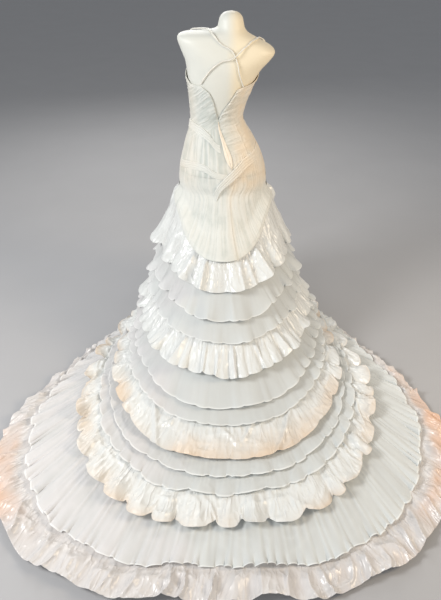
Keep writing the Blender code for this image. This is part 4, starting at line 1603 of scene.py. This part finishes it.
TIERS = (
    Tier(
        "satin_tier_1", Finish.SATIN, (4.50, 4.25, 4.00, 4.00), 12, 0.0040, 0.016, 0.042, 680, 36,
        Petals(0.078, 0.026, 0.22, 0.16, 0.022), Frills(0.0050, 0.024, 0.0012, 0.030, 0.0012),
        0.05, FIRST_CREASES,
    ),
    Tier(
        "organza_tier_1", Finish.ORGANZA, (5.45, 5.20, 5.00, 5.00), 14, 0.0040, 0.018, 0.034, 720, 26,
        Petals(0.072, 0.026, 0.22, 0.22, 0.030), Frills(0.0, 0.024, 0.0002, 0.030, 0.0010),
        0.0,
    ),
    Tier(
        "organza_tier_2", Finish.ORGANZA, (6.15, 6.05, 5.95, 5.90), 14, 0.0016, 0.017, 0.026, 760, 24,
        Petals(0.068, 0.026, 0.26, 0.22, 0.030), Frills(0.0, 0.024, 0.0002, 0.030, 0.0010),
        0.0,
    ),
    Tier(
        "satin_tier_2", Finish.SATIN, (7.10, 7.05, 7.00, 7.00), 18, 0.0040, 0.022, 0.036, 900, 32,
        Petals(0.056, 0.026, 0.85, 0.24, 0.014), Frills(0.0034, 0.018, 0.0016, 0.030, 0.0012),
        0.05, SECOND_CREASES,
    ),
    Tier(
        "organza_tier_3", Finish.ORGANZA, (8.05, 7.90, 7.80, 7.80), 14, 0.0029, 0.019, 0.018, 820, 22,
        Petals(0.076, 0.026, 0.22, 0.22, 0.030), Frills(0.0, 0.026, 0.0002, 0.030, 0.0010),
        0.0,
    ),
    Tier(
        "organza_tier_4", Finish.ORGANZA, (8.50, 8.40, 8.30, 8.30), 14, 0.0040, 0.018, 0.016, 820, 18,
        Petals(0.072, 0.024, 0.28, 0.22, 0.028), Frills(0.0, 0.026, 0.0002, 0.030, 0.0012),
        0.0,
    ),
    Tier(
        "satin_tier_3", Finish.SATIN, (9.40, 9.10, 9.00, 8.90), 12, 0.0033, 0.018, 0.018, 820, 34,
        Petals(0.120, 0.032, 0.25, 0.18, 0.028), Frills(0.0120, 0.026, 0.0010, 0.034, 0.0014),
        0.62, THIRD_CREASES,
    ),
    Tier(
        "organza_tier_5", Finish.ORGANZA, (9.80, 9.36, 9.30, 9.30), 14, 0.0027, 0.016, 0.012, 920, 18,
        Petals(0.092, 0.020, 0.50, 0.22, 0.022), Frills(0.0030, 0.020, 0.0010, 0.034, 0.0070),
        0.0,
    ),
    Tier(
        "organza_tier_6", Finish.ORGANZA, (10.20, 9.66, 9.62, 9.65), 16, 0.0040, 0.016, 0.012, 980, 18,
        Petals(0.096, 0.024, 0.60, 0.22, 0.022), Frills(0.0030, 0.020, 0.0010, 0.034, 0.0090),
        0.0,
    ),
    Tier(
        "satin_tier_4", Finish.SATIN, (10.85, 10.25, 10.22, 10.30), 22, 0.0040, 0.016, 0.028, 1300, 30,
        Petals(0.122, 0.050, 0.95, 0.20, 0.046), Frills(0.0180, 0.034, 0.0016, 0.034, 0.0020),
        0.50,
    ),
    Tier(
        "organza_tier_7", Finish.ORGANZA, (11.45, 11.40, 11.40, 11.50), 20, 0.0025, 0.012, 0.012, 1600, 26,
        Petals(0.100, 0.010, 0.80, 0.08, 0.012), Frills(0.0012, 0.030, 0.0030, 0.038, 0.0320),
        0.0,
    ),
)


@dataclass
class Lie:
    """Where a tier lies on the skirt: columns evenly spaced round its hem, and rows down it."""

    azimuth: np.ndarray  # of each column
    high: np.ndarray  # its upper and lower edge, in rows below the hip row
    low: np.ndarray
    share: np.ndarray  # of the depth, at each row of points
    place: np.ndarray  # the share of the way round, at each column
    length: float  # of the hem
    depth: np.ndarray  # from the upper to the lower edge
    radius: np.ndarray  # of the hem from the axis


@dataclass
class Ruffles:
    """The eleven gathered tiers over the base skirt."""

    seed: int = 5
    guide_points: int = 1441  # round a lower edge, to measure it
    row_bias: float = 1.25  # above 1 sets rows closer together towards the hem
    flank_from: float = 20.0  # azimuths between which the petals grow
    flank_to: float = 52.0
    least_height: float = 0.004
    stray: float = 0.008  # how far a hem strays up and down along its length
    full_depth: float = 0.100  # petals are smaller on a stretch of tier shorter than this
    jitter: float = 0.30  # how far a petal, gather or ripple strays, as a share of its width
    crumple_width: float = 0.060

    def lie(self, tier: Tier, above: Tier | None) -> Lie:
        """Lays a tier out on the skirt, from under the one above or from the yoke's line.

        Args:
            tier: the tier.
            above: the one above it, where there is one.
        Returns:
            Where it lies.
        """
        turn = np.linspace(-180.0, 180.0, self.guide_points)
        ends = tuple(zip(TIER_AT, tier.ends))
        points = GARMENT.at(HIP_ROW + smooth_line(np.abs(turn), ends), turn)
        length = np.concatenate([[0.0], np.cumsum(np.linalg.norm(np.diff(points, axis=0), axis=1))])
        place = np.arange(tier.columns) / tier.columns
        azimuth = np.interp(place * length[-1], length, turn)[None, :]
        low = smooth_line(np.abs(azimuth), ends)
        if above is None:
            high = smooth_line(np.abs(azimuth), YOKE_LINE)
        else:
            line = smooth_line(np.abs(azimuth), tuple(zip(TIER_AT, above.ends)))
            high = line - TIER_OVERLAP * (low - line)
        share = (1.0 - (1.0 - np.linspace(0.0, 1.0, tier.rows)) ** self.row_bias)[:, None]
        top, hem = GARMENT.at(HIP_ROW + high, azimuth), GARMENT.at(HIP_ROW + low, azimuth)
        depth, radius = np.linalg.norm(hem - top, axis=-1), np.linalg.norm(hem[..., :2], axis=-1)
        return Lie(azimuth, high, low, share, place[None, :], float(length[-1]), depth, radius)

    def crumples(self, noise: Noise, lie: Lie) -> np.ndarray:
        """Sharp creases at two scales that run every way, between 0 and 1.

        Args:
            noise: the tier's noise.
            lie: where the tier lies. A whole number of cells goes round it, so that its two ends meet.
        Returns:
            The sum of two crested noises, the second finer and turned.
        """
        cells = max(8, round(lie.length / self.crumple_width))
        u = lie.place * cells
        down = lie.share * lie.depth
        sway = 0.9 * noise.at(u * 0.5, down / 0.09 + 3.0, cells // 2)
        large = noise.crests(u + sway, down / 0.060 + sway, cells)
        small = noise.crests(2.0 * u + 1.7 * sway, down / 0.034 + 11.0 + sway, 2 * cells)
        return 0.75 * large + 0.25 * small

    def tier(self, number: int, tier: Tier, above: Tier | None) -> None:
        """One tier: flat under the one above, with waves that grow towards its hem.

        The distance off the skirt is the seat, plus the trough's rise with the share of depth to the power
        1.3, plus the waves with its square. Petals stand on that, small at the centre back, and lean over
        each other at the sides. Crumples, fine gathers that are tallest near the seam, and ripples at the
        hem come last.

        Args:
            number: its number from the top, from 0.
            tier: its sizes.
            above: the tier above it, where there is one.
        """
        lie = self.lie(tier, above)
        azimuth, share, place, radius = lie.azimuth, lie.share, lie.place, lie.radius
        seed = self.seed + 10 * number
        noise = Noise(seed)
        petals, frills = tier.petals, tier.frills

        def waves(width: float, spread: float, more: int) -> tuple[np.ndarray, np.ndarray, int]:
            """Waves round the hem.

            Args:
                width: about how wide each is.
                spread: how much lower than 1 one may be.
                more: what their seed adds to the tier's.
            Returns:
                Their height and phase at each column, and their number.
            """
            count = max(3, round(lie.length / width))
            height, phase = Waves(count, self.jitter, spread, seed + more).at(place)
            return height, phase, count

        wave, _ = Waves(tier.waves, 0.16, 0.35, seed + 1).at(place)
        petal, petal_phase, count = waves(petals.width, 0.65, 2)
        half, half_phase, _ = waves(0.47 * petals.width, 0.85, 3)
        gather, _, _ = waves(frills.gather_width, 0.80, 4)
        ripple, ripple_phase, _ = waves(frills.ripple_width, 0.80, 5)
        flank = ease(np.abs(azimuth), self.flank_from, self.flank_to)
        strength = petals.back + (1.0 - petals.back) * flank
        strength = strength * (0.95 + 0.35 * noise.at(place * (count // 4), 21.0, count // 4))
        strength = strength * np.clip(lie.depth / self.full_depth, 0.35, 1.0)
        bunch = 0.62 + 0.38 * noise.at(place * (count // 2), 7.0, count // 2)
        uneven = 0.8 + 0.2 * np.sin(np.radians(azimuth) * 5.0 + tier.waves)
        wide = 1.0 + 0.3 * np.sin(np.radians(azimuth)) ** 2
        flat = tier.seat + WALL
        out = flat + (tier.trough - flat) * share**1.3
        out = out + tier.depth * share**2 * wave * uneven * wide
        lobe = share**1.6 * (1.25 - 0.40 * share**4)
        out = out + petals.rise * strength * lobe * (petal + 0.15 * half - 0.20)
        fades = ease(share, 0.02, 0.22) * (1.0 - 0.6 * ease(share, 0.35, 1.0))
        out = out + frills.gather_rise * gather * fades * (0.7 + 0.6 * bunch)
        crumple = np.full(out.shape, 0.5)
        if frills.crumple > 0.0:
            crumple = self.crumples(noise, lie)
            out = out + frills.crumple * (crumple - 0.3) * ease(share, 0.05, 0.35) * (0.75 + 0.5 * flank)
        ripple_share = share**8 * bunch
        out = out + frills.ripple_rise * ripple_share * (ripple - 0.3)
        out = out + creased(tier.creases, azimuth, share, radius)
        lean = -petals.curl * petals.width * strength * share**2.4
        lean = lean * np.sin(petal_phase) * (0.5 + 0.5 * petal)
        lean = lean - 0.06 * petals.width * strength * share**3 * np.sin(half_phase) * half
        lean = lean - 0.3 * frills.ripple_rise * ripple_share * np.sin(ripple_phase)
        turned = azimuth + np.degrees(lean / radius)
        arch = np.abs(np.sin(petal_phase / 2.0)) ** (0.6 + petals.back)
        hang = petals.scallop * strength * (arch - 0.65) * share**2
        hang = hang + self.stray * noise.at(place * tier.waves * 2, 3.0, tier.waves * 2) * share**2
        fall = lie.low - lie.high
        row = HIP_ROW + lie.high + share * fall + hang / np.maximum(lie.depth / fall, CRUMB)
        points = GARMENT.moved_out(np.minimum(row, HEM_ROW - 0.05), turned, np.maximum(out, 0.5 * flat))
        points[..., 2] = np.maximum(points[..., 2], self.least_height)
        # the relief also drives painted shade: the finishes darken low relief
        gathered = 0.35 * min(1.0, frills.gather_rise / 0.0016) * gather * fades
        relief = 0.30 + 0.25 * wave * share + 0.35 * petal * share * strength + gathered + 0.25 * crumple
        relief = relief + 9.0 * frills.ripple_rise * (ripple - 0.3) * ripple_share
        cast = self.cast(tier, azimuth, share, noise)
        sheet = Sheet(points, closed=True, relief=relief, cast=cast, roll=0.0008)
        name = tier.node.replace("tier", "ruffle")
        cloth_piece(name, sheet, tier.finish, tier.node)

    def cast(self, tier: Tier, azimuth: np.ndarray, share: np.ndarray, noise: Noise) -> np.ndarray:
        """The tier's champagne cast, a painted reflection of warm light.

        Args:
            tier: the tier, with how strong its cast is.
            azimuth: the azimuth of each column.
            share: how far down each row is.
            noise: the tier's noise.
        Returns:
            The cast, stronger with the square of the share and in slow patches.
        """
        patches = 0.5 + 0.5 * noise.at(azimuth / 9.0 + 40.0, share * 1.5)
        return tier.cast * (0.15 + 0.85 * share**2) * (0.2 + 1.6 * patches)

    def build(self) -> None:
        """Makes every tier from the top down."""
        for number, tier in enumerate(TIERS):
            self.tier(number, tier, TIERS[number - 1] if number else None)


@dataclass(frozen=True)
class Gore:
    """One gore of the base skirt between two azimuths on each side."""

    place: str
    start: float
    end: float
    columns: int


@dataclass
class BaseSkirt:
    """The satin skirt under the tiers, whose crumpled hem is the edge of the train."""

    gores: tuple[Gore, ...] = (
        Gore("back", 0.0, 40.0, 300),
        Gore("side", 40.0, 100.0, 190),
        Gore("front", 100.0, 180.0, 90),
    )
    mean_radius: float = 1.25  # turns an azimuth into a distance along the hem
    shown_rows: float = 0.95  # above the hem, where points are close together
    crease_rise: float = 0.030
    crumple_rise: float = 0.020
    crease_from: float = 60.0  # azimuths between which creases and scallops fade
    crease_to: float = 90.0
    scallop: float = 0.040  # rows by which the hem is shorter between two scallops
    scallop_width: float = 0.17
    least_height: float = 0.0015
    warm_light_left: tuple[float, float] = (41.5, 8.5)  # the patch of peach painted warm light: azimuth and half width in degrees
    warm_light_right: tuple[float, float] = (-47.0, 17.0)
    noise: Noise = field(default_factory=lambda: Noise(77))

    def rows(self) -> np.ndarray:
        """Spaces the rows of points.

        Returns:
            Rows from the bodice's lower edge to the hem, close together only where the skirt shows.
        """
        first_shown = HEM_ROW - self.shown_rows
        hidden = np.linspace(HIP_ROW + BODICE_END + 0.01, first_shown, 18, endpoint=False)
        return np.concatenate([hidden, np.linspace(first_shown, HEM_ROW, 46)])[:, None]

    def gore(self, gore: Gore, hand: Hand) -> None:
        """One gore of crumpled satin.

        Its rise is crested noise: long creases that run out to the hem, and crumples that cross them at two
        scales. They come in above the hem and fade towards the front. The hem is shorter between scallops,
        which follow the root of a sine's size.

        Args:
            gore: its place.
            hand: the side that it is on.
        """
        row = self.rows()
        side, label = hand.value, hand.name.lower()
        middle = side * (gore.start + gore.end) / 2.0
        radius = np.linalg.norm(GARMENT.at(row, middle)[..., :2], axis=-1)
        inset = np.degrees(SEAM / 2.0 / radius)
        share = np.linspace(0.0, 1.0, gore.columns)[None, :]
        azimuth = side * (gore.start + inset + share * (gore.end - gore.start - 2.0 * inset))
        (azimuth,) = facing_out(azimuth, azimuth)
        girth = np.radians(azimuth) * self.mean_radius
        near_hem = ease(row, HEM_ROW - 0.55, HEM_ROW)
        spread = 1.0 - 0.85 * ease(np.abs(azimuth), self.crease_from, self.crease_to)
        scallops = np.abs(np.sin(np.pi * girth / self.scallop_width + 1.5 * self.noise.at(girth / 0.4)))
        row = row - self.scallop * near_hem * spread * (1.0 - np.sqrt(scallops))
        reach = np.linalg.norm(GARMENT.at(row, azimuth)[..., :2], axis=-1)
        along = 0.18 * ease(row, HEM_ROW - 1.2, HEM_ROW - 0.7)
        along = along + 0.82 * ease(row, HEM_ROW - 0.56, HEM_ROW - 0.34)
        sway = 0.8 * self.noise.at(girth / 0.16, reach / 0.14)
        creases = self.noise.crests(girth / 0.048 + sway, reach / 0.26 + 8.0)
        cross = self.noise.crests(girth / 0.062 + 40.0 - 1.5 * sway, reach / 0.085 + 2.0 * sway)
        fine = self.noise.crests(girth / 0.024 + 90.0 + 1.6 * sway, reach / 0.080 + sway)
        # the relief also drives painted shade: the train satin darkens low relief
        relief = 0.50 * creases + 0.30 * cross + 0.20 * fine
        crumples = 0.65 * cross + 0.35 * fine
        out = (self.crease_rise * creases + self.crumple_rise * crumples) * along * spread
        points = GARMENT.moved_out(row, azimuth, out)
        points[..., 2] = np.maximum(points[..., 2], self.least_height)
        cast = self.cast(azimuth, girth, reach) * along
        sheet = Sheet(points, relief=0.25 + 0.75 * relief, cast=cast, roll=0.0008)
        name, node = f"base_skirt_{gore.place}_{label}", f"skirt_{gore.place}_{label}"
        cloth_piece(name, sheet, Finish.TRAIN, node)

    def cast(self, azimuth: np.ndarray, girth: np.ndarray, reach: np.ndarray) -> np.ndarray:
        """The peach cast of painted warm light: a patch on each flank, and a faint one elsewhere.

        Args:
            azimuth: the azimuth of each point.
            girth: its distance along the hem.
            reach: its distance from the axis.
        Returns:
            A bell on each flank over an even share, mottled by noise.
        """
        left, right = (bell(azimuth - at, width) for at, width in (self.warm_light_left, self.warm_light_right))
        mottle = 0.8 + 0.3 * self.noise.at(girth / 0.10 + 60.0, reach / 0.10)
        return np.clip((0.12 + 0.88 * left + 0.66 * right) * mottle, 0.0, 1.0)

    def build(self) -> None:
        """Makes the six gores."""
        for gore in self.gores:
            for hand in Hand:
                self.gore(gore, hand)


@dataclass(frozen=True)
class Lamp:
    """A square soft light: where it stands, what it points at, its size in metres and its watts."""

    name: str
    place: tuple[float, float, float]
    target: tuple[float, float, float]
    size: float
    watts: float
    colour: tuple[float, float, float]

    def light(self) -> None:
        """Makes the light."""
        data = bpy.data.lights.new(self.name, "AREA")
        data.shape = "SQUARE"
        data.size = self.size
        data.energy = self.watts
        data.color = self.colour
        made = bpy.data.objects.new(self.name, data)
        made.location = self.place
        towards = Vector(self.target) - Vector(self.place)
        made.rotation_euler = towards.to_track_quat("-Z", "Y").to_euler()
        bpy.context.scene.collection.objects.link(made)


LAMPS = (
    Lamp("key", (2.5, 1.7, 2.5), (0.0, 0.6, 0.3), 1.0, 84.0, (1.0, 0.99, 0.97)),
    Lamp("fill", (-2.4, 1.3, 2.0), (0.0, 0.2, 1.0), 1.0, 42.0, (1.0, 0.82, 0.60)),
    Lamp("back", (0.2, 4.4, 1.8), (0.0, 0.3, 0.6), 2.0, 30.0, (1.0, 0.99, 0.96)),
    Lamp("front", (0.6, -2.8, 2.6), (0.0, 0.0, 0.7), 1.8, 45.0, (1.0, 0.98, 0.95)),
)


@dataclass
class Studio:
    """A pale floor, soft lights and the camera behind the dress, above it and looking down."""

    camera_height: float = 2.0
    camera_back: float = 2.65
    camera_side: float = 0.0243
    camera_pitch: float = 35.0
    lens: float = 24.0
    sensor: float = 24.0
    floor_size: float = 60.0
    floor_gap: float = 0.0006  # between the hem and the floor
    floor_colour: tuple[float, float, float] = (0.42, 0.42, 0.43)
    sky_colour: tuple[float, float, float] = (0.93, 0.96, 1.0)
    sky_strength: float = 0.36

    def floor(self) -> None:
        """A plain pale floor just under the hem."""
        shader = Shader("studio floor")
        speck = shader.noise(shader.object_place(), 3.0, 2.0, 0.5)
        colour = shader.blend(speck, self.floor_colour, tuple(1.06 * value for value in self.floor_colour))
        half = self.floor_size / 2.0
        places = [(x * half, y * half, -self.floor_gap) for x, y in ((-1, -1), (1, -1), (1, 1), (-1, 1))]
        mesh = bpy.data.meshes.new("floor")
        mesh.from_pydata(places, [], [(0, 1, 2, 3)])
        sockets = {"Base Color": colour, "Roughness": 0.9, "Specular IOR Level": 0.1}
        mesh.materials.append(shader.close(sockets))
        floor = bpy.data.objects.new("floor", mesh)
        bpy.context.scene.collection.objects.link(floor)

    def sky(self) -> None:
        """An even, faint sky."""
        world = bpy.data.worlds.new("studio")
        world.use_nodes = True
        background = world.node_tree.nodes["Background"]
        background.inputs["Color"].default_value = (*self.sky_colour, 1.0)
        background.inputs["Strength"].default_value = self.sky_strength
        bpy.context.scene.world = world

    def camera(self) -> None:
        """The camera: a vertical view of 53 degrees, level across, pitched down."""
        data = bpy.data.cameras.new("camera")
        data.sensor_fit = "VERTICAL"
        data.sensor_height = self.sensor
        data.lens = self.lens
        made = bpy.data.objects.new("camera", data)
        made.location = (self.camera_side, self.camera_back, self.camera_height)
        made.rotation_euler = (np.radians(90.0 - self.camera_pitch), 0.0, np.radians(180.0))
        bpy.context.scene.collection.objects.link(made)
        bpy.context.scene.camera = made

    def build(self) -> None:
        """Makes the floor, the lights, the sky and the camera."""
        self.floor()
        for lamp in LAMPS:
            lamp.light()
        self.sky()
        bpy.context.scene.view_settings.view_transform = "Standard"
        self.camera()


def main() -> None:
    """Loads the frame, builds the studio, the form and the dress."""
    logging.basicConfig(level=logging.INFO, format="%(name)s: %(message)s")
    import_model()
    Studio().build()
    DressForm().build()
    BaseSkirt().build()
    Bodice().build()
    Ruffles().build()


if __name__ == "__main__":
    main()
